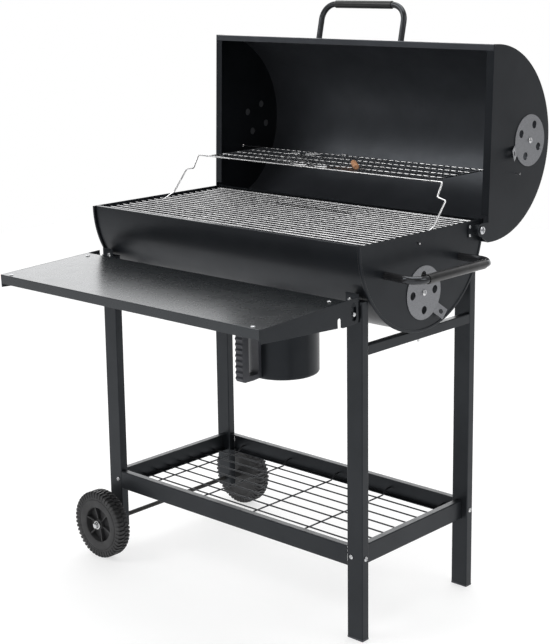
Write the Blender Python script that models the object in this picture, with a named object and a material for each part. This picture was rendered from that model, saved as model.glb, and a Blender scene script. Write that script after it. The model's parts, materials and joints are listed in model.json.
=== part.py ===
"""Barrel charcoal grill on a two-wheeled trolley, in metres, +Z up.

The origin is on the ground under the middle of the whole grill, as it stands in
use: lid open, table up, all air vents open but the left one of the lid. +X points to
the end without wheels and -Y to the front, where the folding table is. Sizes below
are measured from the middle of the barrel, and one empty moves everything from there
to the origin.
"""

import math

import bmesh
import bpy
from mathutils import Matrix, Vector

# ---------------------------------------------------------------- driving sizes
BARREL_X = -0.01815           # the barrel's middle, from the origin
BARREL_Y = 0.02394
GAP = 0.0003                  # air left between touching pieces
SHEET = 0.0012                # thickness of the pressed sheets
TUBE_WALL = 0.0015            # wall of the leg tubes, rails and crossbars

LEG_X = 0.381                 # outer faces of the legs
LEG_Y = 0.188
LEG_WIDTH = 0.040             # along X
LEG_DEPTH = 0.020             # along Y
LEG_TOP = 0.704
SHORT_LEG_BOTTOM = 0.0605
FOOT_PLATE = 0.004
FOOT_SPIGOT = 0.022

RAIL_BOTTOM = 0.155
RAIL_TOP = 0.197
RAIL_FLANGE = 0.015
SIDE_RAIL_X = 0.366
CROSSBAR_BOTTOM = 0.596
CROSSBAR_TOP = 0.616
GRID_WIRE = 0.0034
GRID_PITCH_Y = 0.0385
GRID_PITCH_X = 0.153
GRID_LONG_Z = 0.1625
GRID_CROSS_Z = 0.1595
GRID_HOOK_Z = 0.171

WHEEL_RADIUS = 0.0785
WHEEL_IN = 0.2165
WHEEL_OUT = 0.250
AXLE_X = -0.361
AXLE_RADIUS = 0.005
AXLE_HALF = 0.2545

BARREL_Z = 0.8165             # axis and rim height of the firebox
BARREL_RADIUS = 0.200
BARREL_HALF = 0.381
RIM_FLANGE = 0.008
END_IN = 0.3845               # inner face of a firebox end plate
END_OUT = 0.386
BEAD_RADIUS = 0.2048
VENT_Z = 0.692
VENT_RADIUS = 0.0555
VENT_HOLE_RADIUS = 0.0085
VENT_HOLE_CIRCLE = 0.0363
VENT_TAB_ANGLE = -43.0
ASH_HOLE_RADIUS = 0.070

GRATE_TOP = 0.812
GRATE_WIRE = 0.004
GRATE_THICK = 0.0075          # a rod over the bar it is welded on
GRATE_PITCH = 0.019
GRATE_COUNT = 20
GRATE_SPLIT = 0.125           # where the three grates meet
GRATE_HALF = 0.375
GRATE_DEPTH = 0.190
COAL_GRATE_Z = 0.699
COAL_GRATE_DEPTH = 0.157

POT_RADIUS = 0.0806
POT_BOTTOM = 0.458
POT_TOP = 0.612

HINGE_Y = 0.177               # lid hinge axis, along X
HINGE_Z = 0.796
LID_OPEN = math.radians(91.9)
LID_RIM_Z = 0.8195            # lid rim when closed
LID_CENTRE_Z = 0.8315
LID_RADIUS = 0.205
LID_HALF = 0.400
LID_VENT_Z = 0.9625
LID_VENT_TAB_ANGLE = -69.7    # open
LID_VENT_SHUT = 45.0          # turn that shuts a vent

RACK_Z = 0.902                # warming rack, with the lid open
RACK_FRONT = 0.100
RACK_REAR = 0.297
RACK_HALF = 0.3235
RACK_ROD_HALF = 0.415
RACK_WIRE = 0.0032
RACK_COUNT = 38
ROD_RADIUS = 0.002
TOOL_END = (0.112, 0.119)     # near end of the lifting tool's grip
TOOL_ANGLE = math.radians(135.0)
LEG_WIRE_X = 0.3795
LEG_WIRE_BEND_X = 0.357

TABLE_Y = -0.209              # fold axis of the table, along X
TABLE_Z = 0.684
TABLE_TILT = math.radians(2.45)
TABLE_HALF = 0.376
TABLE_SURFACE = 0.0315        # height of the table's face over its fold axis
TABLE_FRONT = -0.2614
TABLE_REAR = -0.0200
TABLE_APRON = 0.020
ARM_IN = 0.3763
ARM_OUT = 0.3783

ARC_STEPS = 32

# ---------------------------------------------------------------- materials
# slot name: colour, roughness, metallic
FINISHES = {
    "black_paint": ((0.028, 0.030, 0.033), 0.38, 0.0),
    "glossy_black": ((0.018, 0.019, 0.021), 0.22, 0.0),
    "shelf_wire": ((0.022, 0.022, 0.024), 0.45, 0.0),
    "vent_steel": ((0.55, 0.56, 0.57), 0.42, 1.0),
    "chrome_wire": ((0.80, 0.80, 0.80), 0.18, 1.0),
    "zinc": ((0.72, 0.72, 0.74), 0.30, 1.0),
    "black_plastic": ((0.030, 0.031, 0.034), 0.60, 0.0),
    "grip_rubber": ((0.026, 0.026, 0.028), 0.75, 0.0),
    "wood_grip": ((0.42, 0.17, 0.06), 0.55, 0.0),
}


def make_materials():
    made = {}
    for slot, (colour, roughness, metallic) in FINISHES.items():
        material = bpy.data.materials.new(slot)
        material.use_nodes = True
        shader = material.node_tree.nodes["Principled BSDF"]
        shader.inputs["Base Color"].default_value = (*colour, 1.0)
        shader.inputs["Roughness"].default_value = roughness
        shader.inputs["Metallic"].default_value = metallic
        made[slot] = material
    return made


# ---------------------------------------------------------------- frames and nodes
class Pivot:
    """An empty on a joint's axis. Its pieces are modelled in the space where it stands unturned."""

    def __init__(self, name, centre, turn=0.0):
        self.centre = Vector(centre)
        self.empty = bpy.data.objects.new(name, None)
        self.empty.location = self.centre
        self.empty.rotation_euler.x = turn
        self.empty.parent = GRILL
        bpy.context.scene.collection.objects.link(self.empty)


def add_node(name, shape, slot, pivot=None, origin=(0.0, 0.0, 0.0), sharp=32.0):
    """Makes a shape into a named object with its origin at that point."""
    origin = Vector(origin)
    bmesh.ops.translate(shape, verts=shape.verts, vec=-origin)
    bmesh.ops.recalc_face_normals(shape, faces=shape.faces)
    mesh = bpy.data.meshes.new(name)
    shape.to_mesh(mesh)
    shape.free()
    mesh.shade_smooth()
    mesh.set_sharp_from_angle(angle=math.radians(sharp))
    mesh.materials.append(MATERIALS[slot])
    node = bpy.data.objects.new(name, mesh)
    bpy.context.scene.collection.objects.link(node)
    if pivot is None:
        node.parent = GRILL
        node.location = origin
    else:
        node.parent = pivot.empty
        node.location = origin - pivot.centre
    return node


# ---------------------------------------------------------------- outlines
def arc(centre, radius, start, end, steps):
    """Points on an arc, angles in degrees."""
    points = []
    for i in range(steps + 1):
        angle = math.radians(start + (end - start) * i / steps)
        points.append((centre[0] + radius * math.cos(angle), centre[1] + radius * math.sin(angle)))
    return points


def circle(centre, radius, steps=16):
    return arc(centre, radius, 0.0, 360.0, steps)[:-1]


def rectangle(low, high):
    return [(low[0], low[1]), (high[0], low[1]), (high[0], high[1]), (low[0], high[1])]


def rounded(points, radius, steps=5):
    """A path in space with each inner corner turned into a bend of about this radius."""
    points = [Vector(p) for p in points]
    path = [points[0]]
    for before, corner, after in zip(points, points[1:], points[2:]):
        back = (before - corner).normalized()
        on = (after - corner).normalized()
        half = back.angle(on) / 2.0
        reach = radius / math.tan(half)
        start = corner + back * reach
        end = corner + on * reach
        centre = corner + (back + on).normalized() * (radius / math.sin(half))
        first = start - centre
        turn = first.angle(end - centre)
        axis = first.cross(end - centre).normalized()
        for i in range(steps + 1):
            path.append(centre + Matrix.Rotation(turn * i / steps, 3, axis) @ first)
    path.append(points[-1])
    return path


# ---------------------------------------------------------------- solids
PLACE = {
    "X": lambda u, v, w: (w, u, v),
    "Y": lambda u, v, w: (u, w, v),
    "Z": lambda u, v, w: (u, v, w),
}


def prism(outline, axis, low, high, holes=()):
    """An outline, with any holes, drawn along an axis. It lies in the other two axes, in X, Y, Z order."""
    place = PLACE[axis]
    shape = bmesh.new()
    edges = []
    for loop in (outline, *holes):
        corners = [shape.verts.new(place(u, v, low)) for u, v in loop]
        for i, corner in enumerate(corners):
            edges.append(shape.edges.new((corners[i - 1], corner)))
    if holes:
        bmesh.ops.triangle_fill(shape, use_beauty=True, use_dissolve=False, edges=edges)
    else:
        bmesh.ops.contextual_create(shape, geom=edges)
    faces = list(shape.faces)
    grown = bmesh.ops.extrude_face_region(shape, geom=faces, use_keep_orig=True)
    moved = [item for item in grown["geom"] if isinstance(item, bmesh.types.BMVert)]
    shift = Vector(place(0.0, 0.0, high - low))
    bmesh.ops.translate(shape, verts=moved, vec=shift)
    bmesh.ops.recalc_face_normals(shape, faces=shape.faces)
    return shape


def box(low, high):
    return prism(rectangle(low[:2], high[:2]), "Z", low[2], high[2])


def lathe(profile, axis, centre, steps=32):
    """A closed profile of (radius, height) turned about an axis through centre."""
    place = PLACE[axis]
    shape = bmesh.new()
    centre = Vector(centre)
    rings = []
    for radius, height in profile:
        if radius < 1e-6:
            rings.append([shape.verts.new(centre + Vector(place(0.0, 0.0, height)))] * steps)
            continue
        ring = []
        for i in range(steps):
            angle = math.tau * i / steps - math.pi / 2.0
            spot = place(radius * math.cos(angle), radius * math.sin(angle), height)
            ring.append(shape.verts.new(centre + Vector(spot)))
        rings.append(ring)
    for ring, following in zip(rings, rings[1:] + rings[:1]):
        for i in range(steps):
            j = (i + 1) % steps
            corners = []
            for corner in (ring[i], ring[j], following[j], following[i]):
                if corner not in corners:
                    corners.append(corner)
            if len(corners) > 2:
                shape.faces.new(corners)
    bmesh.ops.recalc_face_normals(shape, faces=shape.faces)
    return shape


def disc(radius, axis, centre, low, high, steps=16):
    """A plain round bar between two heights along an axis."""
    return lathe([(0.0, low), (radius, low), (radius, high), (0.0, high)], axis, centre, steps)


def tube(path, radius, sides=8):
    """A solid round wire along a path, with flat ends."""
    path = [Vector(p) for p in path]
    shape = bmesh.new()
    start = (path[1] - path[0]).normalized()
    side = start.orthogonal().normalized()
    rings = []
    before = start
    for i, point in enumerate(path):
        after = (path[min(i + 1, len(path) - 1)] - path[max(i - 1, 0)]).normalized()
        side = (before.rotation_difference(after) @ side).normalized()
        side = (side - after * side.dot(after)).normalized()
        other = after.cross(side)
        ring = []
        for k in range(sides):
            angle = math.tau * k / sides
            ring.append(shape.verts.new(point + radius * (math.cos(angle) * side + math.sin(angle) * other)))
        rings.append(ring)
        before = after
    for ring, following in zip(rings, rings[1:]):
        for k in range(sides):
            m = (k + 1) % sides
            shape.faces.new((ring[k], ring[m], following[m], following[k]))
    shape.faces.new(rings[0])
    shape.faces.new(rings[-1])
    bmesh.ops.recalc_face_normals(shape, faces=shape.faces)
    return shape


def together(*shapes):
    """Several shapes in one mesh, still separate bodies: an operand for a join."""
    shape = bmesh.new()
    for other in shapes:
        mesh = bpy.data.meshes.new("part_of")
        other.to_mesh(mesh)
        other.free()
        shape.from_mesh(mesh)
        bpy.data.meshes.remove(mesh)
    return shape


def boolean(base, others, operation):
    """The base joined with, or cut by, each of the other shapes."""
    helpers = []
    for other in (base, *others):
        mesh = bpy.data.meshes.new("operand")
        other.to_mesh(mesh)
        other.free()
        helper = bpy.data.objects.new("operand", mesh)
        bpy.context.scene.collection.objects.link(helper)
        helpers.append(helper)
    target = helpers[0]
    for helper in helpers[1:]:
        step = target.modifiers.new("step", "BOOLEAN")
        step.operation = operation
        step.solver = "EXACT"
        step.object = helper
    bpy.context.view_layer.update()
    shape = bmesh.new()
    shape.from_object(target, bpy.context.evaluated_depsgraph_get())
    for helper in helpers:
        mesh = helper.data
        bpy.data.objects.remove(helper, do_unlink=True)
        bpy.data.meshes.remove(mesh)
    bmesh.ops.remove_doubles(shape, verts=shape.verts, dist=1e-6)
    return shape


def joined(base, *others):
    return boolean(base, others, "UNION")


def cut(base, *others):
    return boolean(base, others, "DIFFERENCE")


def flip_x(shape, side):
    """The shape itself for the +X side, its mirror image for the -X side."""
    if side < 0:
        bmesh.ops.scale(shape, vec=(-1.0, 1.0, 1.0), verts=shape.verts)
        bmesh.ops.reverse_faces(shape, faces=shape.faces)
    return shape


def flip_y(shape, side):
    if side < 0:
        bmesh.ops.scale(shape, vec=(1.0, -1.0, 1.0), verts=shape.verts)
        bmesh.ops.reverse_faces(shape, faces=shape.faces)
    return shape


SIDES = (("left", -1), ("right", 1))
ENDS = (("front", -1), ("rear", 1))


# ---------------------------------------------------------------- trolley
def add_legs():
    for side_name, side in SIDES:
        for end_name, end in ENDS:
            bottom = FOOT_PLATE + GAP if side > 0 else SHORT_LEG_BOTTOM
            leg = box((LEG_X - LEG_WIDTH, LEG_Y - LEG_DEPTH, bottom), (LEG_X, LEG_Y, LEG_TOP))
            bore = box((LEG_X - LEG_WIDTH + TUBE_WALL, LEG_Y - LEG_DEPTH + TUBE_WALL, bottom - 0.01),
                       (LEG_X - TUBE_WALL, LEG_Y - TUBE_WALL, LEG_TOP - TUBE_WALL))
            leg = cut(leg, bore)
            if side < 0:
                leg = cut(leg, disc(AXLE_RADIUS + GAP, "Y", (-AXLE_X, 0.0, WHEEL_RADIUS), 0.15, 0.20, 16))
            leg = flip_y(flip_x(leg, side), end)
            add_node(f"leg_{end_name}_{side_name}", leg, "black_paint")


def add_foot_caps():
    inner = TUBE_WALL + GAP
    for end_name, end in ENDS:
        plate = box((LEG_X - LEG_WIDTH, LEG_Y - LEG_DEPTH, 0.0), (LEG_X, LEG_Y, FOOT_PLATE))
        spigot = box((LEG_X - LEG_WIDTH + inner, LEG_Y - LEG_DEPTH + inner, 0.001),
                     (LEG_X - inner, LEG_Y - inner, FOOT_SPIGOT))
        add_node(f"foot_cap_{end_name}", flip_y(joined(plate, spigot), end), "black_plastic")


def channel(outer, bottom, top, flange):
    """A C section with its back on the outer side and both flanges turned inwards."""
    inner = outer - TUBE_WALL
    return [(outer, bottom), (outer, top), (outer - flange, top), (outer - flange, top - TUBE_WALL),
            (inner, top - TUBE_WALL), (inner, bottom + TUBE_WALL), (outer - flange, bottom + TUBE_WALL),
            (outer - flange, bottom)]


def add_rails():
    half_x = LEG_X - LEG_WIDTH - GAP
    half_y = LEG_Y - LEG_DEPTH - GAP
    for end_name, end in ENDS:
        rail = prism(channel(LEG_Y, RAIL_BOTTOM, RAIL_TOP, RAIL_FLANGE), "X", -half_x, half_x)
        add_node(f"shelf_rail_{end_name}", flip_y(rail, end), "black_paint")
    for side_name, side in SIDES:
        rail = prism(channel(SIDE_RAIL_X, RAIL_BOTTOM, RAIL_TOP, RAIL_FLANGE), "Y", -half_y, half_y)
        add_node(f"shelf_rail_{side_name}", flip_x(rail, side), "black_paint")
        web = [(LEG_X, CROSSBAR_BOTTOM), (LEG_X, CROSSBAR_TOP), (LEG_X - RAIL_FLANGE, CROSSBAR_TOP),
               (LEG_X - RAIL_FLANGE, CROSSBAR_TOP - TUBE_WALL), (LEG_X - TUBE_WALL, CROSSBAR_TOP - TUBE_WALL),
               (LEG_X - TUBE_WALL, CROSSBAR_BOTTOM)]
        add_node(f"crossbar_{side_name}", flip_x(prism(web, "Y", -half_y, half_y), side), "black_paint")


def add_shelf_grid():
    half = GRID_WIRE / 2.0
    reach_x = SIDE_RAIL_X - TUBE_WALL - 0.0005
    reach_y = LEG_Y - TUBE_WALL - 0.0005
    long_wires = []
    for i in range(8):
        y = (i - 3.5) * GRID_PITCH_Y
        long_wires.append(box((-reach_x, y - half, GRID_LONG_Z - half), (reach_x, y + half, GRID_LONG_Z + half)))
    low, high = GRID_CROSS_Z - half, GRID_CROSS_Z + half
    rise = GRID_HOOK_Z - GRID_CROSS_Z
    bottom = [(-reach_y, low + rise), (-0.174, low + rise * 0.8), (-0.158, low),
              (0.158, low), (0.174, low + rise * 0.8), (reach_y, low + rise)]
    outline = bottom + [(y, z + high - low) for y, z in reversed(bottom)]
    cross_wires = []
    for i in range(5):
        x = (i - 2) * GRID_PITCH_X
        cross_wires.append(prism(outline, "X", x - half, x + half))
    add_node("shelf_grid", joined(together(*long_wires), together(*cross_wires)), "shelf_wire")


def add_axle_and_wheels():
    centre = (AXLE_X, 0.0, WHEEL_RADIUS)
    add_node("axle", disc(AXLE_RADIUS, "Y", centre, -AXLE_HALF, AXLE_HALF, 16), "zinc", origin=centre)
    bore = AXLE_RADIUS + 0.0004
    tread = WHEEL_RADIUS
    profile = [
        (bore, LEG_Y + 0.0006), (0.0095, LEG_Y + 0.0006), (0.0095, WHEEL_IN + 0.004), (0.055, WHEEL_IN + 0.004),
        (0.058, WHEEL_IN), (tread - 0.004, WHEEL_IN), (tread, WHEEL_IN + 0.004), (tread, WHEEL_OUT - 0.004),
        (tread - 0.004, WHEEL_OUT), (0.056, WHEEL_OUT), (0.050, WHEEL_OUT - 0.008), (0.040, WHEEL_OUT - 0.010),
        (0.030, WHEEL_OUT - 0.010), (0.020, WHEEL_OUT - 0.003), (bore, WHEEL_OUT - 0.003),
    ]
    for end_name, end in ENDS:
        wheel = flip_y(lathe(profile, "Y", centre, 32), end)
        add_node(f"wheel_{end_name}", wheel, "black_plastic", origin=centre)
        inner = AXLE_HALF + GAP
        cap = lathe([(0.0, inner + 0.0035), (0.006, inner + 0.003), (0.009, inner + 0.001), (0.010, WHEEL_OUT),
                     (bore, WHEEL_OUT), (bore, inner), (0.0, inner)], "Y", centre, 16)
        add_node(f"wheel_cap_{end_name}", flip_y(cap, end), "zinc", origin=centre)


# ---------------------------------------------------------------- firebox
def add_firebox_shell():
    axis = (0.0, BARREL_Z)
    inner = BARREL_RADIUS - SHEET
    lip = BARREL_RADIUS - SHEET - RIM_FLANGE
    under = BARREL_Z - SHEET
    dip = math.degrees(math.asin(SHEET / inner))
    outline = arc(axis, BARREL_RADIUS, 180.0, 360.0, ARC_STEPS)
    outline += [(lip, BARREL_Z), (lip, under)]
    outline += arc(axis, inner, 360.0 - dip, 180.0 + dip, ARC_STEPS)
    outline += [(-lip, under), (-lip, BARREL_Z)]
    shell = prism(outline, "X", -BARREL_HALF, BARREL_HALF)
    hole = disc(ASH_HOLE_RADIUS, "Z", (0.0, 0.0, 0.0), 0.59, 0.68, 32)
    add_node("firebox_shell", cut(shell, hole), "black_paint")


def vent_holes(centre, tab_angle):
    """Four holes around the vent's centre, at 45 degrees to its tab."""
    holes = []
    for i in range(4):
        angle = math.radians(tab_angle + 45.0 + 90.0 * i)
        spot = (centre[0] + VENT_HOLE_CIRCLE * math.cos(angle), centre[1] + VENT_HOLE_CIRCLE * math.sin(angle))
        holes.append(circle(spot, VENT_HOLE_RADIUS, 12))
    return holes


def add_firebox_ends():
    axis = (0.0, BARREL_Z)
    for side_name, side in SIDES:
        outline = arc(axis, BEAD_RADIUS - 0.0005, 180.0, 360.0, ARC_STEPS)
        holes = vent_holes((0.0, VENT_Z), VENT_TAB_ANGLE)
        holes.append(circle(RACK_LEG_PIVOT, ROD_RADIUS + 0.0006, 8))
        plate = prism(outline, "X", END_IN, END_OUT, holes)
        ring = arc(axis, BEAD_RADIUS, 180.0, 360.0, ARC_STEPS)
        ring += arc(axis, BARREL_RADIUS + GAP, 360.0, 180.0, ARC_STEPS)
        bead = prism(ring, "X", BARREL_HALF + 0.0005, END_OUT + 0.0015)
        add_node(f"firebox_end_{side_name}", flip_x(joined(plate, bead), side), "black_paint")


def add_grate_ledges():
    outer = 0.1963
    inner = 0.1835
    top = GRATE_TOP - 0.0080
    outline = [(outer, top), (inner, top), (inner, top - SHEET), (outer - SHEET, top - SHEET),
               (outer - SHEET, top - 0.014), (outer, top - 0.014)]
    for end_name, end in ENDS:
        ledge = prism(outline, "X", -GRATE_HALF, GRATE_HALF)
        add_node(f"grate_ledge_{end_name}", flip_y(ledge, end), "black_paint")


def lattice(columns, rows, low, high, wire, outline=None):
    """A flat welded grid: bars along Y at each x of columns and along X at each y of rows."""
    half = wire / 2.0
    if outline is None:
        outline = rectangle((columns[0] - half, rows[0] - half), (columns[-1] + half, rows[-1] + half))
    windows = []
    for x, next_x in zip(columns, columns[1:]):
        for y, next_y in zip(rows, rows[1:]):
            windows.append(rectangle((x + half, y + half), (next_x - half, next_y - half)))
    return prism(outline, "Z", low, high, windows)


def add_grates():
    inset = GRATE_WIRE / 2.0
    edge = GRATE_DEPTH - inset
    rows = [-edge] + [(i - (GRATE_COUNT - 1) / 2.0) * GRATE_PITCH for i in range(GRATE_COUNT)] + [edge]
    spans = (("left", -GRATE_HALF, -GRATE_SPLIT - 0.0008), ("middle", -GRATE_SPLIT, GRATE_SPLIT),
             ("right", GRATE_SPLIT + 0.0008, GRATE_HALF))
    for name, low, high in spans:
        columns = [low + inset, high - inset]
        if name == "middle":
            columns.insert(1, 0.0)
        grate = lattice(columns, rows, GRATE_TOP - GRATE_THICK, GRATE_TOP, GRATE_WIRE)
        add_node(f"grate_{name}", grate, "chrome_wire", origin=((low + high) / 2.0, 0.0, GRATE_TOP))


def add_coal_grate():
    half = 0.360
    columns = [-half, -0.12, 0.12, half]
    edge = COAL_GRATE_DEPTH - GRATE_WIRE / 2.0
    rows = [(i / 5.0 - 1.0) * edge for i in range(11)]
    grate = lattice(columns, rows, COAL_GRATE_Z - 0.002, COAL_GRATE_Z + 0.004, GRATE_WIRE)
    add_node("charcoal_grate", grate, "shelf_wire")


def add_side_handle():
    foot_x = END_OUT + GAP
    foot_y, foot_z = 0.123, 0.747
    bar_x, bar_y, bar_z = 0.466, 0.130, 0.746
    path = rounded([(foot_x, -foot_y, foot_z), (foot_x + 0.012, -foot_y, foot_z), (bar_x, -bar_y, bar_z),
                    (bar_x, bar_y, bar_z), (foot_x + 0.012, foot_y, foot_z), (foot_x, foot_y, foot_z)], 0.030, 3)
    add_node("side_handle", tube(path, 0.008, 8), "glossy_black")
    grip = lathe([(0.0088, -0.094), (0.0098, -0.094), (0.0098, 0.094), (0.0088, 0.094)],
                 "Y", (bar_x, 0.0, bar_z), 12)
    add_node("side_handle_grip", grip, "grip_rubber")


def vent_disc(face, centre, tab_angle, thickness=SHEET):
    """A round damper plate on the outer side of an end plate, with a folded tab to turn it by."""
    low = face + GAP
    holes = vent_holes(centre, tab_angle)
    holes.append(circle(centre, 0.0036, 8))
    plate = prism(circle(centre, VENT_RADIUS, 32), "X", low, low + thickness, holes)
    fold = [(0.050, 0.0), (0.057, 0.0), (0.080, 0.010), (0.0795, 0.0112), (0.0565, thickness), (0.050, thickness)]
    tab = bmesh.new()
    half_width = 0.012
    rings = []
    for across in (-half_width, half_width):
        rings.append([tab.verts.new((low + out, radius, across)) for radius, out in fold])
    tab.faces.new(rings[0])
    tab.faces.new(rings[1])
    for i in range(len(fold)):
        j = (i + 1) % len(fold)
        tab.faces.new((rings[0][i], rings[0][j], rings[1][j], rings[1][i]))
    bmesh.ops.recalc_face_normals(tab, faces=tab.faces)
    tab = cut(tab, disc(0.005, "X", (0.0, 0.069, 0.0), low - 0.01, low + 0.03, 12))
    bmesh.ops.rotate(tab, verts=tab.verts, cent=(0.0, 0.0, 0.0),
                     matrix=Matrix.Rotation(math.radians(tab_angle), 3, "X"))
    bmesh.ops.translate(tab, verts=tab.verts, vec=(0.0, centre[0], centre[1]))
    return joined(plate, tab)


def vent_screw(face, centre):
    """A pan-head screw through the middle of a vent disc."""
    low = face + GAP
    head = low + SHEET + GAP
    profile = [(0.0, low), (0.003, low), (0.003, head), (0.0065, head), (0.0065, head + 0.0012),
               (0.0045, head + 0.0028), (0.0, head + 0.0034)]
    return lathe(profile, "X", (0.0, centre[0], centre[1]), 12)


def add_firebox_vents():
    centre = (0.0, VENT_Z)
    for side_name, side in SIDES:
        place = (side * END_OUT, *centre)
        add_node(f"firebox_vent_{side_name}", flip_x(vent_disc(END_OUT, centre, VENT_TAB_ANGLE), side),
                 "vent_steel", origin=place)
        add_node(f"firebox_vent_screw_{side_name}", flip_x(vent_screw(END_OUT, centre), side), "zinc")


def add_hinge_brackets():
    """A plate with a round boss on each firebox end, and the bolt that the lid turns on."""
    centre = (0.0, HINGE_Y, HINGE_Z)
    face = END_OUT + 0.0023
    for side_name, side in SIDES:
        plate = box((END_OUT + GAP, 0.150, 0.782), (face, 0.1885, 0.810))
        boss = lathe([(0.0045, face - 0.0008), (0.0115, face - 0.0008), (0.0115, LID_HALF - GAP),
                      (0.0045, LID_HALF - GAP)], "X", centre, 16)
        add_node(f"hinge_bracket_{side_name}", flip_x(joined(plate, boss), side), "black_paint")
        head = LID_HALF + 0.0024
        bolt = lathe([(0.0, face + GAP), (0.0040, face + GAP), (0.0040, head), (0.0085, head),
                      (0.0085, head + 0.002), (0.006, head + 0.0045), (0.0, head + 0.0052)], "X", centre, 12)
        add_node(f"hinge_bolt_{side_name}", flip_x(bolt, side), "zinc")


# ---------------------------------------------------------------- ash pot
def add_ash_parts():
    collar = lathe([(ASH_HOLE_RADIUS + 0.0013, 0.598), (ASH_HOLE_RADIUS + 0.0025, 0.598),
                    (ASH_HOLE_RADIUS + 0.0025, 0.665), (ASH_HOLE_RADIUS + 0.0013, 0.665)],
                   "Z", (0.0, 0.0, 0.0), 32)
    barrel = disc(BARREL_RADIUS + GAP, "X", (0.0, 0.0, BARREL_Z), -0.2, 0.2, 96)
    add_node("ash_collar", cut(collar, barrel), "black_paint")
    wall = POT_RADIUS - SHEET
    profile = [(0.0, POT_BOTTOM), (POT_RADIUS - 0.006, POT_BOTTOM), (POT_RADIUS - 0.0018, POT_BOTTOM + 0.0018),
               (POT_RADIUS, POT_BOTTOM + 0.006), (POT_RADIUS, POT_TOP), (wall, POT_TOP),
               (wall, POT_BOTTOM + 0.0065), (wall - 0.0018, POT_BOTTOM + 0.003),
               (wall - 0.0055, POT_BOTTOM + SHEET), (0.0, POT_BOTTOM + SHEET)]
    add_node("ash_pot", lathe(profile, "Z", (0.0, 0.0, 0.0), 32), "black_paint")
    add_node("ash_pot_handle", prism(pot_handle_outline(), "X", -0.0105, 0.0105, [pot_handle_gap()]),
             "black_plastic")


def pot_handle_outline():
    """The D shape seen from the side, with ribs along the grip."""
    back = -POT_RADIUS - 0.0008
    front = -0.1415
    ribs = 9
    pitch = 0.0125
    low = 0.468
    outline = [(back, 0.464), (-0.105, 0.462), (front + 0.004, 0.463)]
    for i in range(ribs):
        z = low + i * pitch
        outline += [(front, z), (front, z + 0.007), (front + 0.0022, z + 0.0085), (front + 0.0022, z + 0.011)]
    outline += [(front + 0.002, 0.583), (-0.130, 0.590), (-0.100, 0.5895), (back, 0.582)]
    return outline


def pot_handle_gap():
    return [(-0.0905, 0.480), (-0.0905, 0.566), (-0.098, 0.574), (-0.114, 0.574), (-0.1205, 0.566),
            (-0.1205, 0.480), (-0.114, 0.474), (-0.098, 0.474)]


# ---------------------------------------------------------------- lid
def add_lid_shell(pivot):
    centre = (0.0, LID_CENTRE_Z)
    inner = LID_RADIUS - SHEET
    outline = [(LID_RADIUS, LID_RIM_Z)]
    outline += arc(centre, LID_RADIUS, 0.0, 180.0, ARC_STEPS)
    outline += [(-LID_RADIUS, LID_RIM_Z), (-LID_RADIUS + 0.013, LID_RIM_Z),
                (-LID_RADIUS + 0.013, LID_RIM_Z + SHEET), (-inner, LID_RIM_Z + SHEET)]
    outline += arc(centre, inner, 180.0, 0.0, ARC_STEPS)
    outline += [(inner, LID_RIM_Z)]
    add_node("lid_shell", prism(outline, "X", -LID_HALF, LID_HALF), "black_paint", pivot, pivot.centre)


def add_lid_ends(pivot):
    centre = (0.0, LID_CENTRE_Z)
    edge = LID_RADIUS + 0.0004
    tab = arc((HINGE_Y, HINGE_Z), 0.014, 0.0, -180.0, 10)
    outline = arc(centre, edge, 0.0, 180.0, ARC_STEPS)
    outline += [(-edge, LID_RIM_Z), (HINGE_Y - 0.014, LID_RIM_Z)]
    outline += list(reversed(tab))
    outline += [(edge, LID_RIM_Z)]
    rack_hole = closed_lid_point(RACK_REAR, RACK_Z)
    for side_name, side in SIDES:
        holes = vent_holes((0.0, LID_VENT_Z), LID_VENT_TAB_ANGLE)
        holes.append(circle((HINGE_Y, HINGE_Z), 0.0045, 12))
        holes.append(circle(rack_hole, ROD_RADIUS + 0.0006, 8))
        plate = prism(outline, "X", LID_HALF + GAP, LID_HALF + 0.0018, holes)
        flange = box((LID_HALF - 0.0165, -0.1912, LID_RIM_Z), (LID_HALF + 0.001, 0.150, LID_RIM_Z + SHEET))
        add_node(f"lid_end_{side_name}", flip_x(joined(plate, flange), side), "black_paint", pivot, pivot.centre)


def closed_lid_point(y, z):
    """Where a point that is on the open lid lies in the closed lid's space."""
    turned = Matrix.Rotation(LID_OPEN, 3, "X") @ Vector((0.0, y - HINGE_Y, z - HINGE_Z))
    return (HINGE_Y + turned.y, HINGE_Z + turned.z)


def add_lid_handle(pivot):
    tilt = math.radians(11.0)
    half = 0.119

    def spot(x, radius):
        return (x, -radius * math.cos(tilt), LID_CENTRE_Z + radius * math.sin(tilt))

    bar = 0.2866
    path = rounded([spot(-half, LID_RADIUS + GAP), spot(-half, bar), spot(half, bar),
                    spot(half, LID_RADIUS + GAP)], 0.036, 5)
    add_node("lid_handle", tube(path, 0.007, 8), "glossy_black", pivot, pivot.centre)
    grip = lathe([(0.0078, -0.081), (0.0090, -0.081), (0.0090, 0.081), (0.0078, 0.081)],
                 "X", spot(0.0, bar), 12)
    add_node("lid_handle_grip", grip, "grip_rubber", pivot, pivot.centre)


def add_lid_vents(pivot):
    centre = (0.0, LID_VENT_Z)
    face = LID_HALF + 0.0018
    for side_name, side in SIDES:
        place = (side * face, *centre)
        tab_angle = LID_VENT_TAB_ANGLE
        if side_name == "left":
            tab_angle -= LID_VENT_SHUT
        add_node(f"lid_vent_{side_name}", flip_x(vent_disc(face, centre, tab_angle), side),
                 "vent_steel", pivot, place)
        add_node(f"lid_vent_screw_{side_name}", flip_x(vent_screw(face, centre), side), "zinc", pivot, pivot.centre)


# ---------------------------------------------------------------- warming rack
# The rack, its legs, the lid and the firebox form a parallelogram, so the rack stays level.
RACK_LEG_PIVOT = (RACK_FRONT - (RACK_REAR - HINGE_Y), RACK_Z - (RACK_Z - HINGE_Z))


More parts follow.
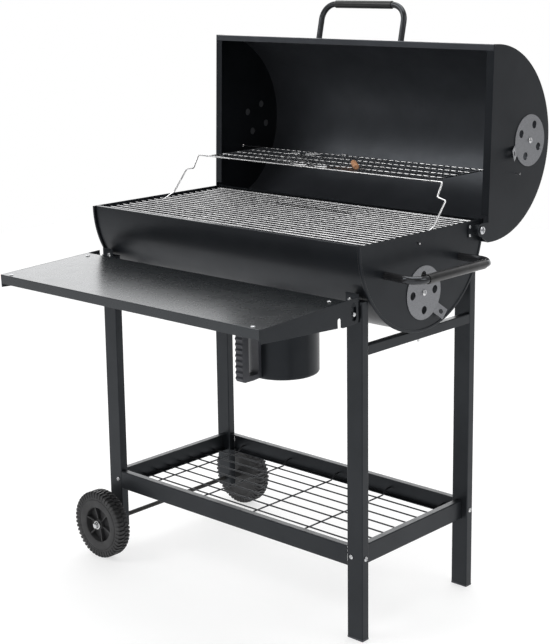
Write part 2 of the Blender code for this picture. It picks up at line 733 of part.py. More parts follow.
def add_warming_rack():
    half = RACK_WIRE / 2.0
    rear = RACK_REAR
    columns = [(2.0 * i / (RACK_COUNT - 1) - 1.0) * RACK_HALF for i in range(RACK_COUNT)]
    rows = [RACK_FRONT, (RACK_FRONT + rear) / 2.0, rear]
    edge_x = RACK_HALF + half
    outline = [(-edge_x, RACK_FRONT - half), (edge_x, RACK_FRONT - half), (edge_x, rear - half),
               (RACK_ROD_HALF, rear - half), (RACK_ROD_HALF, rear + half), (-RACK_ROD_HALF, rear + half),
               (-RACK_ROD_HALF, rear - half), (-edge_x, rear - half)]
    rack = lattice(columns, rows, RACK_Z - half, RACK_Z + half, RACK_WIRE, outline)
    add_node("warming_rack", rack, "chrome_wire", origin=(0.0, RACK_REAR, RACK_Z))


def add_rack_legs():
    pivot_y, pivot_z = RACK_LEG_PIVOT
    for side_name, side in SIDES:
        path = rounded([
            (0.392, pivot_y, pivot_z), (LEG_WIRE_X, pivot_y, pivot_z), (LEG_WIRE_X, 0.039, 0.819),
            (LEG_WIRE_X, 0.081, 0.868), (LEG_WIRE_BEND_X, 0.083, 0.873), (LEG_WIRE_BEND_X, RACK_FRONT, RACK_Z),
            (RACK_HALF + 0.0035, RACK_FRONT, RACK_Z),
        ], 0.004, 2)
        add_node(f"rack_leg_{side_name}", flip_x(tube(path, ROD_RADIUS, 6), side), "chrome_wire",
                 origin=(0.0, pivot_y, pivot_z))


def add_grate_lifter():
    """The small lifting tool with a wooden grip that lies askew on the warming rack."""
    radius = 0.0068
    height = radius + GAP
    grip = lathe([(0.0, 0.0), (0.0050, 0.0), (radius, 0.004), (radius, 0.066), (0.0045, 0.074), (0.0, 0.074)],
                 "X", (0.0, 0.0, height), 12)
    shank = tube([(0.060, 0.0, height), (0.236, 0.0, 0.0026), (0.246, 0.010, 0.0026)], ROD_RADIUS, 6)
    tool = joined(grip, shank)
    bmesh.ops.rotate(tool, verts=tool.verts, cent=(0.0, 0.0, 0.0),
                     matrix=Matrix.Rotation(TOOL_ANGLE, 3, "Z"))
    place = (*TOOL_END, RACK_Z + RACK_WIRE / 2.0)
    bmesh.ops.translate(tool, verts=tool.verts, vec=place)
    add_node("grate_lifter", tool, "wood_grip", origin=place)


# ---------------------------------------------------------------- folding table
def add_table(pivot):
    y0, z0 = TABLE_Y, TABLE_Z
    top = TABLE_SURFACE
    under = top - SHEET
    outline = [(TABLE_FRONT, top), (TABLE_REAR, top), (TABLE_REAR, top - 0.010), (TABLE_REAR - SHEET, top - 0.010),
               (TABLE_REAR - SHEET, under), (TABLE_FRONT + SHEET, under), (TABLE_FRONT + SHEET, top - TABLE_APRON),
               (TABLE_FRONT, top - TABLE_APRON)]
    sheet = prism([(y0 + y, z0 + z) for y, z in outline], "X", -TABLE_HALF, TABLE_HALF)
    add_node("table_top", sheet, "black_paint", pivot, pivot.centre)
    for side_name, side in SIDES:
        plate = prism([(y0 + y, z0 + z) for y, z in arm_outline()], "X", ARM_IN, ARM_OUT,
                      [[(y0 + y, z0 + z) for y, z in arm_slot()]])
        flange = box((ARM_IN - 0.018, y0 + TABLE_FRONT + 0.003, z0 + under - 0.0005 - SHEET),
                     (ARM_IN + 0.001, y0 + TABLE_REAR - 0.003, z0 + under - 0.0005))
        add_node(f"table_arm_{side_name}", flip_x(joined(plate, flange), side), "black_paint", pivot, pivot.centre)


def arm_outline():
    """Side plate of the table, about its fold axis: shallow in front, deep at the rear, with a locking notch."""
    bottom = -0.0195
    round_radius = 0.0195
    rear = 0.013
    corner = math.degrees(math.acos(rear / round_radius))
    notch_front, notch_rear, notch_top = -0.0485, -0.0385, 0.0025
    outline = [(TABLE_FRONT, TABLE_SURFACE), (TABLE_FRONT, 0.0045), (notch_front, -0.0165)]
    outline += arc(((notch_front + notch_rear) / 2.0, notch_top - 0.005), 0.005, 180.0, 0.0, 6)
    outline += [(notch_rear, -0.0175), (notch_rear + 0.006, bottom)]
    outline += arc((0.0, 0.0), round_radius, -90.0, -corner, 5)
    outline += [(rear, TABLE_SURFACE)]
    return outline


def arm_slot():
    half_width = 0.007
    low, high = -0.006, 0.017
    return arc((0.0, low), half_width, 180.0, 360.0, 6) + arc((0.0, high), half_width, 0.0, 180.0, 6)


def add_table_brackets():
    face = -LEG_Y - GAP
    tongue_in, tongue_out = 0.3723, 0.3743
    for side_name, side in SIDES:
        round_radius = 0.013
        outline = [(face, TABLE_Z + round_radius)]
        outline += arc((TABLE_Y, TABLE_Z), round_radius, 90.0, 270.0, 10)
        outline += [(face, TABLE_Z - round_radius)]
        tongue = prism(outline, "X", tongue_in, tongue_out, [circle((TABLE_Y, TABLE_Z), 0.0045, 12)])
        flange = box((0.345, face - 0.002, 0.664), (tongue_out - 0.0005, face, 0.7015))
        add_node(f"table_bracket_{side_name}", flip_x(joined(tongue, flange), side), "black_paint")
        pin = lathe([(0.0, 0.3690), (0.0062, 0.3690), (0.0062, 0.3720), (0.0040, 0.3720), (0.0040, 0.3798),
                     (0.0, 0.3798)], "X", (0.0, TABLE_Y, TABLE_Z), 12)
        add_node(f"table_pin_{side_name}", flip_x(pin, side), "zinc")


# ---------------------------------------------------------------- build
def build():
    add_legs()
    add_foot_caps()
    add_rails()
    add_shelf_grid()
    add_axle_and_wheels()
    add_firebox_shell()
    add_firebox_ends()
    add_grate_ledges()
    add_grates()
    add_coal_grate()
    add_side_handle()
    add_firebox_vents()
    add_hinge_brackets()
    add_ash_parts()
    lid = Pivot("lid_hinge", (0.0, HINGE_Y, HINGE_Z), -LID_OPEN)
    add_lid_shell(lid)
    add_lid_ends(lid)
    add_lid_handle(lid)
    add_lid_vents(lid)
    add_warming_rack()
    add_rack_legs()
    add_grate_lifter()
    table = Pivot("table_fold", (0.0, TABLE_Y, TABLE_Z), TABLE_TILT)
    add_table(table)
    add_table_brackets()


for old in list(bpy.data.objects):
    bpy.data.objects.remove(old, do_unlink=True)
MATERIALS = make_materials()
GRILL = bpy.data.objects.new("grill", None)
GRILL.location = (BARREL_X, BARREL_Y, 0.0)
bpy.context.scene.collection.objects.link(GRILL)
build()
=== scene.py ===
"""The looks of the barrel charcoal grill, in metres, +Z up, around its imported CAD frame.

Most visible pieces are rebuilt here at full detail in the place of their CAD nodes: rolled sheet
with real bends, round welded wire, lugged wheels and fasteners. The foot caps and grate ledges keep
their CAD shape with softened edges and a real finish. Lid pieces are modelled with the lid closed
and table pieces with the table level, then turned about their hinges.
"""

import json
import math

import bmesh
import bpy
from mathutils import Matrix, Vector


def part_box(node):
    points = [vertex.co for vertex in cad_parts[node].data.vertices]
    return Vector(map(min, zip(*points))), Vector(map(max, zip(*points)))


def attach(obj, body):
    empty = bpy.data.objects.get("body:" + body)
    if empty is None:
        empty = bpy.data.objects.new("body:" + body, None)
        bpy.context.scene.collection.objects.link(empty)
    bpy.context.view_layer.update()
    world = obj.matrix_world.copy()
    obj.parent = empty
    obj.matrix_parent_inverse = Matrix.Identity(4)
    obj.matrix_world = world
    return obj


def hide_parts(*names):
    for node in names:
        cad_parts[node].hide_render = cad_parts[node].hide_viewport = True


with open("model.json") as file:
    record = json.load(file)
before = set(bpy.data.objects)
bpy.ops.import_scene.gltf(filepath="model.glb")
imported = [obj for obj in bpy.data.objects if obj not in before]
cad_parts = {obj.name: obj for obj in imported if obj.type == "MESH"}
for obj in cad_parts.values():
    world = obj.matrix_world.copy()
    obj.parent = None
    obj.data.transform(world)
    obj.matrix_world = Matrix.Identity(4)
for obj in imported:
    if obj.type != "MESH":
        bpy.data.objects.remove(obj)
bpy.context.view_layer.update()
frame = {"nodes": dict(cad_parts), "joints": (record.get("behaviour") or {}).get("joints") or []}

MM = 0.001

# ---------------------------------------------------------------- sizes from the frame
# Everything below is measured from the ground under the middle of the barrel.
JOINTS = {joint["name"]: joint for joint in frame["joints"]}
BARREL = sum(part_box("firebox_shell"), Vector()) / 2.0
BARREL.z = 0.0


def node_box(name):
    low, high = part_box(name)
    return (low - BARREL, high - BARREL)


def joint_place(name):
    return Vector(JOINTS[name]["pos_m"]) - BARREL


HINGE = joint_place("lid_hinge")
LID_OPEN = math.radians(JOINTS["lid_hinge"]["range_deg"][1])
TABLE_AXIS = joint_place("table_fold")
TABLE_TILT = math.radians(2.45)

LEG_LOW, LEG_HIGH = node_box("leg_front_right")
LEG_X = LEG_HIGH.x
LEG_Y = -LEG_LOW.y
SHELL_LOW, SHELL_HIGH = node_box("firebox_shell")
BARREL_Z = SHELL_HIGH.z
BARREL_RADIUS = SHELL_HIGH.z - SHELL_LOW.z
BARREL_HALF = SHELL_HIGH.x
WHEEL_LOW, WHEEL_HIGH = node_box("wheel_rear")
WHEEL_RADIUS = (WHEEL_HIGH.z - WHEEL_LOW.z) / 2.0
AXLE = Vector((WHEEL_LOW.x + WHEEL_RADIUS, 0.0, WHEEL_LOW.z + WHEEL_RADIUS))
AXLE_HALF = node_box("axle")[1].y
GRATE_TOP = node_box("grate_left")[1].z
GRATE_DEPTH = node_box("grate_left")[1].y
RACK_LOW, RACK_HIGH = node_box("warming_rack")
RACK_Z = (RACK_LOW.z + RACK_HIGH.z) / 2.0
POT_LOW, POT_HIGH = node_box("ash_pot")
POT_RADIUS = POT_HIGH.x

# ---------------------------------------------------------------- sizes of the details
GAP = 0.3 * MM
SHEET = 1.2 * MM
TUBE_WALL = 1.5 * MM
END_IN = 384.5 * MM           # inner face of a firebox end plate
END_OUT = 386.0 * MM
BEAD_RADIUS = 204.8 * MM
RIM_FLANGE = 9.0 * MM
VENT_CENTRE = (0.0, 692.0 * MM)
VENT_TAB_ANGLE = -43.0
VENT_RADIUS = 55.5 * MM
VENT_HOLE_RADIUS = 8.5 * MM
VENT_HOLE_CIRCLE = 36.3 * MM
ASH_HOLE_RADIUS = 70.0 * MM
LID_CENTRE = (0.0, 831.5 * MM)
LID_RIM_Z = 819.5 * MM
LID_RADIUS = 205.0 * MM
LID_HALF = 400.0 * MM
LID_VENT_CENTRE = (0.0, 962.5 * MM)
LID_VENT_TAB_ANGLE = -69.7    # open
LID_VENT_SHUT = 45.0          # turn that shuts a vent
RAIL_BOLT_Z = 176.0 * MM
GRATE_ROD = 1.85 * MM         # radius
GRATE_PITCH = 19.0 * MM
GRATE_COUNT = 20
RACK_HALF = 323.5 * MM        # to the middle of the outer short wires
TOOL_END = (112.0 * MM, 119.0 * MM)
TOOL_ANGLE = math.radians(135.0)
TABLE_HALF = 376.0 * MM
TABLE_FRONT = -261.4 * MM     # from the fold axis
TABLE_REAR = -20.0 * MM
TABLE_SURFACE = 31.5 * MM
# Corners of the loose wire loops on the rack, (x, y).
LOOPS = (((-0.048, 0.100), (-0.012, 0.100), (-0.168, 0.250), (-0.196, 0.216)),
         ((0.006, 0.104), (0.044, 0.104), (-0.118, 0.266), (-0.150, 0.240)))
ARC_STEPS = 96
WORLD_NEAR = 0.34             # light from the camera's side, and from behind the grill
WORLD_FAR = 3.40
SIDES = (("left", -1), ("right", 1))
ENDS = (("front", -1), ("rear", 1))


# ---------------------------------------------------------------- materials
class Nodes:
    """A material's node tree, with short calls to add and join nodes."""

    def __init__(self, name):
        self.material = bpy.data.materials.new(name)
        self.material.use_nodes = True
        self.tree = self.material.node_tree
        self.shader = self.tree.nodes["Principled BSDF"]
        self.place = self.add("ShaderNodeTexCoord").outputs["Object"]

    def add(self, kind, **settings):
        node = self.tree.nodes.new(kind)
        for key, value in settings.items():
            setattr(node, key, value)
        return node

    def link(self, source, target):
        self.tree.links.new(source, target)

    def set(self, **values):
        for key, value in values.items():
            self.shader.inputs[key.replace("_", " ")].default_value = value

    def stretched(self, scale):
        node = self.add("ShaderNodeMapping")
        node.inputs["Scale"].default_value = scale
        self.link(self.place, node.inputs["Vector"])
        return node.outputs["Vector"]

    def noise(self, scale, detail=3.0, roughness=0.55, vector=None):
        node = self.add("ShaderNodeTexNoise")
        node.inputs["Scale"].default_value = scale
        node.inputs["Detail"].default_value = detail
        node.inputs["Roughness"].default_value = roughness
        self.link(vector or self.place, node.inputs["Vector"])
        return node.outputs["Fac"]

    def span(self, value, low, high, source=(0.3, 0.7)):
        node = self.add("ShaderNodeMapRange")
        node.inputs["From Min"].default_value = source[0]
        node.inputs["From Max"].default_value = source[1]
        node.inputs["To Min"].default_value = low
        node.inputs["To Max"].default_value = high
        self.link(value, node.inputs["Value"])
        return node.outputs["Result"]

    def colours(self, value, first, second, low=0.35, high=0.65):
        node = self.add("ShaderNodeValToRGB")
        node.color_ramp.elements[0].position = low
        node.color_ramp.elements[0].color = (*first, 1.0)
        node.color_ramp.elements[1].position = high
        node.color_ramp.elements[1].color = (*second, 1.0)
        self.link(value, node.inputs["Fac"])
        return node.outputs["Color"]

    def bump(self, height, distance, strength=1.0, under=None):
        node = self.add("ShaderNodeBump")
        node.inputs["Distance"].default_value = distance
        node.inputs["Strength"].default_value = strength
        self.link(height, node.inputs["Height"])
        if under is not None:
            self.link(under, node.inputs["Normal"])
        return node.outputs["Normal"]

    def finish(self, colour=None, roughness=None, normal=None):
        for socket, source in (("Base Color", colour), ("Roughness", roughness), ("Normal", normal)):
            if source is not None:
                self.link(source, self.shader.inputs[socket])
        return self.material


def powder_coat(name, dark, light, rough, peel, ior=1.5):
    """Baked powder coat: fine orange peel, a faint cloudiness and slightly uneven gloss."""
    n = Nodes(name)
    n.set(IOR=ior, Specular_Tint=(0.86, 0.92, 1.0, 1.0))
    colour = n.colours(n.noise(14.0, 5.0), dark, light)
    gloss = n.span(n.noise(30.0, 4.0), rough[0], rough[1])
    fine = n.bump(n.noise(900.0, 2.0), 0.05 * MM, peel)
    normal = n.bump(n.noise(95.0, 2.0), 0.10 * MM, peel * 0.5, under=fine)
    return n.finish(colour, gloss, normal)


def wire_finish(name, dark, light, rough, metallic=1.0):
    """Bright drawn wire, with draw marks and light staining."""
    n = Nodes(name)
    n.set(Metallic=metallic)
    colour = n.colours(n.noise(60.0, 5.0), dark, light)
    gloss = n.span(n.noise(220.0, 3.0), rough[0], rough[1])
    normal = n.bump(n.noise(1500.0, 2.0), 0.03 * MM, 0.20)
    return n.finish(colour, gloss, normal)


def vent_finish():
    """Stamped steel with a coarse silver grain."""
    n = Nodes("vent_silver")
    n.set(Metallic=0.75)
    grain = n.noise(1100.0, 4.0, 0.75)
    colour = n.colours(grain, (0.17, 0.175, 0.187), (0.33, 0.335, 0.352), 0.32, 0.68)
    gloss = n.span(n.noise(160.0, 3.0), 0.40, 0.56)
    return n.finish(colour, gloss, n.bump(grain, 0.08 * MM, 0.35))


def moulded_plastic(name, dark, light, rough, grain=1300.0):
    """Moulded polypropylene or rubber with an eroded tool texture."""
    n = Nodes(name)
    colour = n.colours(n.noise(24.0, 5.0), dark, light)
    gloss = n.span(n.noise(45.0, 4.0), rough[0], rough[1])
    fine = n.bump(n.noise(grain, 3.0, 0.7), 0.09 * MM, 0.5)
    normal = n.bump(n.noise(140.0, 3.0), 0.12 * MM, 0.25, under=fine)
    return n.finish(colour, gloss, normal)


def sleeve_rubber():
    """Matt foam-like sleeve with fine rings along its length and a pebbled skin."""
    n = Nodes("sleeve_rubber")
    colour = n.colours(n.noise(50.0, 5.0), (0.010, 0.010, 0.011), (0.018, 0.018, 0.019))
    gloss = n.span(n.noise(70.0, 3.0), 0.30, 0.42)
    cells = n.add("ShaderNodeTexVoronoi")
    cells.inputs["Scale"].default_value = 900.0
    n.link(n.place, cells.inputs["Vector"])
    fine = n.bump(cells.outputs["Distance"], 0.10 * MM, 0.4)
    normal = n.bump(n.noise(260.0, 2.0), 0.10 * MM, 0.3, under=fine)
    return n.finish(colour, gloss, normal)


def turned_wood():
    """Beech with a warm stain: long grain along the grip, and darker pores."""
    n = Nodes("turned_wood")
    along = n.stretched((60.0, 420.0, 420.0))
    grain = n.noise(1.0, 6.0, 0.65, vector=along)
    colour = n.colours(grain, (0.26, 0.10, 0.04), (0.62, 0.33, 0.17), 0.30, 0.70)
    gloss = n.span(grain, 0.42, 0.62)
    return n.finish(colour, gloss, n.bump(grain, 0.12 * MM, 0.5))


def soot_iron():
    """Dark wire of the charcoal grate, dull and slightly scaled."""
    n = Nodes("soot_iron")
    n.set(Metallic=0.4)
    grain = n.noise(260.0, 6.0, 0.7)
    colour = n.colours(grain, (0.016, 0.016, 0.017), (0.055, 0.053, 0.050))
    gloss = n.span(grain, 0.50, 0.75)
    return n.finish(colour, gloss, n.bump(grain, 0.12 * MM, 0.6))


def make_materials():
    return { "satin": powder_coat("satin_black", (0.0085, 0.0098, 0.0118), (0.0115, 0.0130, 0.0155),
                                  (0.30, 0.38), 0.28, 1.34), "frame": powder_coat("frame_black",
                                                                                  (0.0100, 0.0114, 0.0132),
                                                                                  (0.0140, 0.0156, 0.0178),
                                                                                  (0.32, 0.42), 0.30, 1.38),
            # The inside paint is the same black coat with a lighter base colour: painted light for the shaded
            # inside of the lid and the grate ledges.
            "inside_painted_light": powder_coat("inside_black_painted_light", (0.0300, 0.0325, 0.0375), (0.0390, 0.0420, 0.0480),
                                  (0.34, 0.44), 0.25), "table": powder_coat("table_black",
                                                                            (0.0110, 0.0125, 0.0135),
                                                                            (0.0150, 0.0165, 0.0175),
                                                                            (0.26, 0.285), 0.06, 1.52),
            "gloss": powder_coat("gloss_black", (0.018, 0.018, 0.019), (0.027, 0.027, 0.028), (0.10, 0.18),
                                 0.06), "shelf": powder_coat("shelf_black", (0.012, 0.012, 0.013),
                                                             (0.020, 0.020, 0.021), (0.38, 0.50), 0.30),
            "chrome": wire_finish("bright_wire", (0.56, 0.56, 0.57), (0.78, 0.78, 0.78), (0.14, 0.30)),
            "grate": wire_finish("grate_wire", (0.42, 0.42, 0.43), (0.66, 0.66, 0.66), (0.20, 0.34)),
            "zinc": wire_finish("zinc_plate", (0.52, 0.53, 0.55), (0.74, 0.74, 0.74), (0.20, 0.38)),
            "vent": vent_finish(), "plastic": moulded_plastic("black_moulding", (0.034, 0.036, 0.044),
                                                              (0.052, 0.055, 0.066), (0.40, 0.54)),
            "tyre": moulded_plastic("tyre_moulding", (0.018, 0.018, 0.019), (0.030, 0.030, 0.032),
                                    (0.50, 0.68), 900.0), "sleeve": sleeve_rubber(), "wood": turned_wood(),
            "soot": soot_iron(), }


# ---------------------------------------------------------------- outlines
def arc(centre, radius, start, end, steps):
    """Points on an arc, angles in degrees."""
    points = []
    for i in range(steps + 1):
        angle = math.radians(start + (end - start) * i / steps)
        points.append((centre[0] + radius * math.cos(angle), centre[1] + radius * math.sin(angle)))
    return points


def circle(centre, radius, steps=48):
    return arc(centre, radius, 0.0, 360.0, steps)[:-1]


def rectangle(low, high):
    return [(low[0], low[1]), (high[0], low[1]), (high[0], high[1]), (low[0], high[1])]


def rounded(points, radius, steps=8):
    """A path in space with each inner corner turned into a bend of this radius."""
    points = [Vector(p) for p in points]
    path = [points[0]]
    for before, corner, after in zip(points, points[1:], points[2:]):
        back = (before - corner).normalized()
        on = (after - corner).normalized()
        half = back.angle(on) / 2.0
        reach = radius / math.tan(half)
        first = corner + back * reach
        last = corner + on * reach
        centre = corner + (back + on).normalized() * (radius / math.sin(half))
        spoke = first - centre
        turn = spoke.angle(last - centre)
        axis = spoke.cross(last - centre).normalized()
        for i in range(steps + 1):
            path.append(centre + Matrix.Rotation(turn * i / steps, 3, axis) @ spoke)
    path.append(points[-1])
    return path


def rounded_flat(points, radius, steps=5):
    """The same for an open path of (u, v) points."""
    path = rounded([(u, v, 0.0) for u, v in points], radius, steps)
    return [(p.x, p.y) for p in path]


def rounded_rectangle(low, high, radius, steps=4):
    points = []
    corners = ((high[0], high[1], 0.0), (low[0], high[1], 90.0), (low[0], low[1], 180.0),
               (high[0], low[1], 270.0))
    for u, v, start in corners:
        centre = (u - math.copysign(radius, u - (low[0] + high[0]) / 2.0),
                  v - math.copysign(radius, v - (low[1] + high[1]) / 2.0))
        points += arc(centre, radius, start, start + 90.0, steps)
    return points


def strip(line, thickness):
    """The section of a bent sheet: a line of (u, v) points, and the same line moved to its left."""
    line = [Vector(p) for p in line]
    moved = []
    for i, point in enumerate(line):
        before = (point - line[i - 1]).normalized() if i > 0 else (line[1] - point).normalized()
        after = (line[i + 1] - point).normalized() if i < len(line) - 1 else before
        normal = (before + after).normalized().orthogonal()
        moved.append(point + normal * (thickness / max(0.3, normal.dot(after.orthogonal()))))
    return [tuple(p) for p in line] + [tuple(p) for p in reversed(moved)]


# ---------------------------------------------------------------- solids
PLACE = {
    "X": lambda u, v, w: (w, u, v),
    "Y": lambda u, v, w: (u, w, v),
    "Z": lambda u, v, w: (u, v, w),
}


def prism(outline, axis, low, high, holes=()):
    """An outline, with any holes, drawn along an axis. It lies in the other two axes, in X, Y, Z order."""
    place = PLACE[axis]
    shape = bmesh.new()
    edges = []
    for loop in (outline, *holes):
        corners = [shape.verts.new(place(u, v, low)) for u, v in loop]
        for i, corner in enumerate(corners):
            edges.append(shape.edges.new((corners[i - 1], corner)))
    if holes:
        bmesh.ops.triangle_fill(shape, use_beauty=True, use_dissolve=False, edges=edges)
    else:
        bmesh.ops.contextual_create(shape, geom=edges)
    grown = bmesh.ops.extrude_face_region(shape, geom=list(shape.faces), use_keep_orig=True)
    moved = [item for item in grown["geom"] if isinstance(item, bmesh.types.BMVert)]
    bmesh.ops.translate(shape, verts=moved, vec=Vector(place(0.0, 0.0, high - low)))
    bmesh.ops.recalc_face_normals(shape, faces=shape.faces)
    return shape


def box(low, high):
    return prism(rectangle(low[:2], high[:2]), "Z", low[2], high[2])


def lathe(profile, axis, centre, steps=64, start=0.0, sweep=360.0):
    """A closed (radius, height) profile turned about an axis through centre, fully or in part."""
    place = PLACE[axis]
    centre = Vector(centre)
    whole = sweep > 359.9
    columns = steps if whole else steps + 1
    shape = bmesh.new()
    rings = []
    for radius, height in profile:
        if radius < 1e-7:
            rings.append([shape.verts.new(centre + Vector(place(0.0, 0.0, height)))] * columns)
            continue
        ring = []
        for i in range(columns):
            angle = math.radians(start + sweep * i / steps)
            spot = place(radius * math.cos(angle), radius * math.sin(angle), height)
            ring.append(shape.verts.new(centre + Vector(spot)))
        rings.append(ring)
    for ring, following in zip(rings, rings[1:] + rings[:1]):
        for i in range(steps):
            j = (i + 1) % columns
            corners = []
            for corner in (ring[i], ring[j], following[j], following[i]):
                if corner not in corners:
                    corners.append(corner)
            if len(corners) > 2:
                shape.faces.new(corners)
    if not whole:
        for i in (0, -1):
            shape.faces.new(list(dict.fromkeys(ring[i] for ring in rings)))
    bmesh.ops.recalc_face_normals(shape, faces=shape.faces)
    return shape


def tube(path, radius, sides=16, blunt=True):
    """A solid round wire along a path, its ends slightly domed."""
    path = [Vector(p) for p in path]
    shape = bmesh.new()
    side = (path[1] - path[0]).normalized().orthogonal().normalized()
    before = (path[1] - path[0]).normalized()
    stations = []
    for i, point in enumerate(path):
        after = (path[min(i + 1, len(path) - 1)] - path[max(i - 1, 0)]).normalized()
        side = (before.rotation_difference(after) @ side).normalized()
        side = (side - after * side.dot(after)).normalized()
        stations.append((point, side.copy(), after.cross(side), radius))
        before = after
    if blunt:
        inset = radius * 0.3
        first, last = stations[0], stations[-1]
        start_way = (path[1] - path[0]).normalized()
        end_way = (path[-1] - path[-2]).normalized()
        stations[0] = (first[0] + start_way * inset, *first[1:])
        stations[-1] = (last[0] - end_way * inset, *last[1:])
        stations.insert(0, (first[0], first[1], first[2], radius - inset))
        stations.append((last[0], last[1], last[2], radius - inset))
    rings = []
    for point, one, other, reach in stations:
        ring = []
        for k in range(sides):
            angle = math.tau * k / sides
            ring.append(shape.verts.new(point + reach * (math.cos(angle) * one + math.sin(angle) * other)))
        rings.append(ring)
    for ring, following in zip(rings, rings[1:]):
        for k in range(sides):
            m = (k + 1) % sides
            shape.faces.new((ring[k], ring[m], following[m], following[k]))
    shape.faces.new(rings[0])
    shape.faces.new(rings[-1])
    bmesh.ops.recalc_face_normals(shape, faces=shape.faces)
    return shape


def together(*shapes):
    """Several shapes in one mesh, as separate bodies."""
    shape = bmesh.new()
    for other in shapes:
        mesh = bpy.data.meshes.new("part_of")
        other.to_mesh(mesh)
        other.free()
        shape.from_mesh(mesh)
        bpy.data.meshes.remove(mesh)
    return shape


def boolean(base, others, operation):
    helpers = []
    for other in (base, *others):
        mesh = bpy.data.meshes.new("operand")
        other.to_mesh(mesh)
        other.free()
        helper = bpy.data.objects.new("operand", mesh)
        bpy.context.scene.collection.objects.link(helper)
        helpers.append(helper)
    target = helpers[0]
    for helper in helpers[1:]:
        step = target.modifiers.new("step", "BOOLEAN")
        step.operation = operation
        step.solver = "EXACT"
        step.object = helper
    bpy.context.view_layer.update()
    shape = bmesh.new()
    shape.from_object(target, bpy.context.evaluated_depsgraph_get())
    for helper in helpers:
        mesh = helper.data
        bpy.data.objects.remove(helper, do_unlink=True)
        bpy.data.meshes.remove(mesh)
    bmesh.ops.remove_doubles(shape, verts=shape.verts, dist=1e-6)
    return shape


def joined(base, *others):
    return boolean(base, others, "UNION")


def cut(base, *others):
    return boolean(base, others, "DIFFERENCE")


def flip(shape, axis, side):
    """The shape itself for the positive side of an axis, its mirror image for the negative side."""
    if side < 0:
        scale = Vector((1.0, 1.0, 1.0))
        scale["XYZ".index(axis)] = -1.0
        bmesh.ops.scale(shape, vec=scale, verts=shape.verts)
        bmesh.ops.reverse_faces(shape, faces=shape.faces)
    return shape


def turned(shape, centre, angle, axis="X"):
    bmesh.ops.rotate(shape, verts=shape.verts, cent=centre, matrix=Matrix.Rotation(angle, 3, axis))
    return shape


def opened(shape):
    """From the closed lid's space to where the open lid is."""
    return turned(shape, HINGE, -LID_OPEN)


def tilted(shape):
    """From the level table's space to where the table is."""
    return turned(shape, TABLE_AXIS, TABLE_TILT)


def aimed(shape, place, way):
    """A shape built along +Z from the origin, moved to a place and turned to point some other way."""
    turn = Vector((0.0, 0.0, 1.0)).rotation_difference(Vector(way)).to_matrix()
    bmesh.ops.rotate(shape, verts=shape.verts, cent=(0.0, 0.0, 0.0), matrix=turn)
    bmesh.ops.translate(shape, verts=shape.verts, vec=place)
    return shape


# ---------------------------------------------------------------- pieces
def piece(name, shape, finish, body, replaces=(), bevel=0.0, steps=2, sharp=32.0):
    """Makes a shape into an object that rides on a body and stands for the CAD node of its name or others."""
    if name in frame["nodes"]:
        replaces = [name]
    bmesh.ops.recalc_face_normals(shape, faces=shape.faces)
    bmesh.ops.translate(shape, verts=shape.verts, vec=BARREL)
    mesh = bpy.data.meshes.new(name)
    shape.to_mesh(mesh)
    shape.free()
    mesh.shade_smooth()
    mesh.materials.append(MATERIALS[finish])
    obj = bpy.data.objects.new(name, mesh)
    bpy.context.scene.collection.objects.link(obj)
    if bevel > 0.0:
        edge = obj.modifiers.new("edges", "BEVEL")
        edge.width = bevel
        edge.segments = steps
        edge.limit_method = "ANGLE"
        edge.angle_limit = math.radians(sharp)
        edge.use_clamp_overlap = True
        edge.miter_outer = "MITER_ARC"
        weight = obj.modifiers.new("shading", "WEIGHTED_NORMAL")
        weight.keep_sharp = True
        weight.weight = 60
    else:
        mesh.set_sharp_from_angle(angle=math.radians(sharp))
    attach(obj, body)
    if replaces:
        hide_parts(*replaces)
    return obj


def dress_node(name, finish, bevel=0.5 * MM):
    """A CAD node that stays: its own shape, with softened edges and a real finish."""
    node = frame["nodes"][name]
    mesh = node.data
    if "custom_normal" in mesh.attributes:
        mesh.attributes.remove(mesh.attributes["custom_normal"])
    mesh.shade_smooth()
    mesh.materials.clear()
    mesh.materials.append(MATERIALS[finish])
    weld = node.modifiers.new("weld", "WELD")
    weld.merge_threshold = 1e-5
    edge = node.modifiers.new("edges", "BEVEL")
    edge.width = bevel
    edge.segments = 2
    edge.limit_method = "ANGLE"
    edge.angle_limit = math.radians(32.0)
    weight = node.modifiers.new("shading", "WEIGHTED_NORMAL")
    weight.keep_sharp = True


# ---------------------------------------------------------------- fasteners
def pan_head(radius, height):
    """A domed screw head with a cross recess, along +Z."""
    profile = [(0.0, 0.0), (radius * 0.96, 0.0), (radius, height * 0.12)]
    profile += [(radius * math.cos(a), height * (0.35 + 0.65 * math.sin(a)))
                for a in (math.radians(d) for d in range(10, 90, 12))]
    profile.append((0.0, height))
    head = lathe(profile, "Z", (0.0, 0.0, 0.0), 32)
    slot = radius * 0.13
    reach = radius * 0.55
    low, high = height * 0.45, height * 1.5
    return cut(head, box((-reach, -slot, low), (reach, slot, high)),
               box((-slot, -reach, low), (slot, reach, high)))


def hex_head(across, height):
    """A chamfered hexagon head on its round washer face, along +Z."""
    corner = across / math.sqrt(3.0)
    body = prism(circle((0.0, 0.0), corner, 6), "Z", height * 0.18, height)
    crown = lathe([(0.0, 0.0), (across * 0.62, 0.0), (across * 0.62, height * 0.2), (0.0, height * 0.2)],
                  "Z", (0.0, 0.0, 0.0), 32)
    dome = lathe([(0.0, -height), (corner * 1.01, -height), (corner * 1.01, height * 0.72),
                  (across * 0.46, height * 1.001), (0.0, height * 1.001)], "Z", (0.0, 0.0, 0.0), 32)
    return together(crown, boolean(body, (dome,), "INTERSECT"))


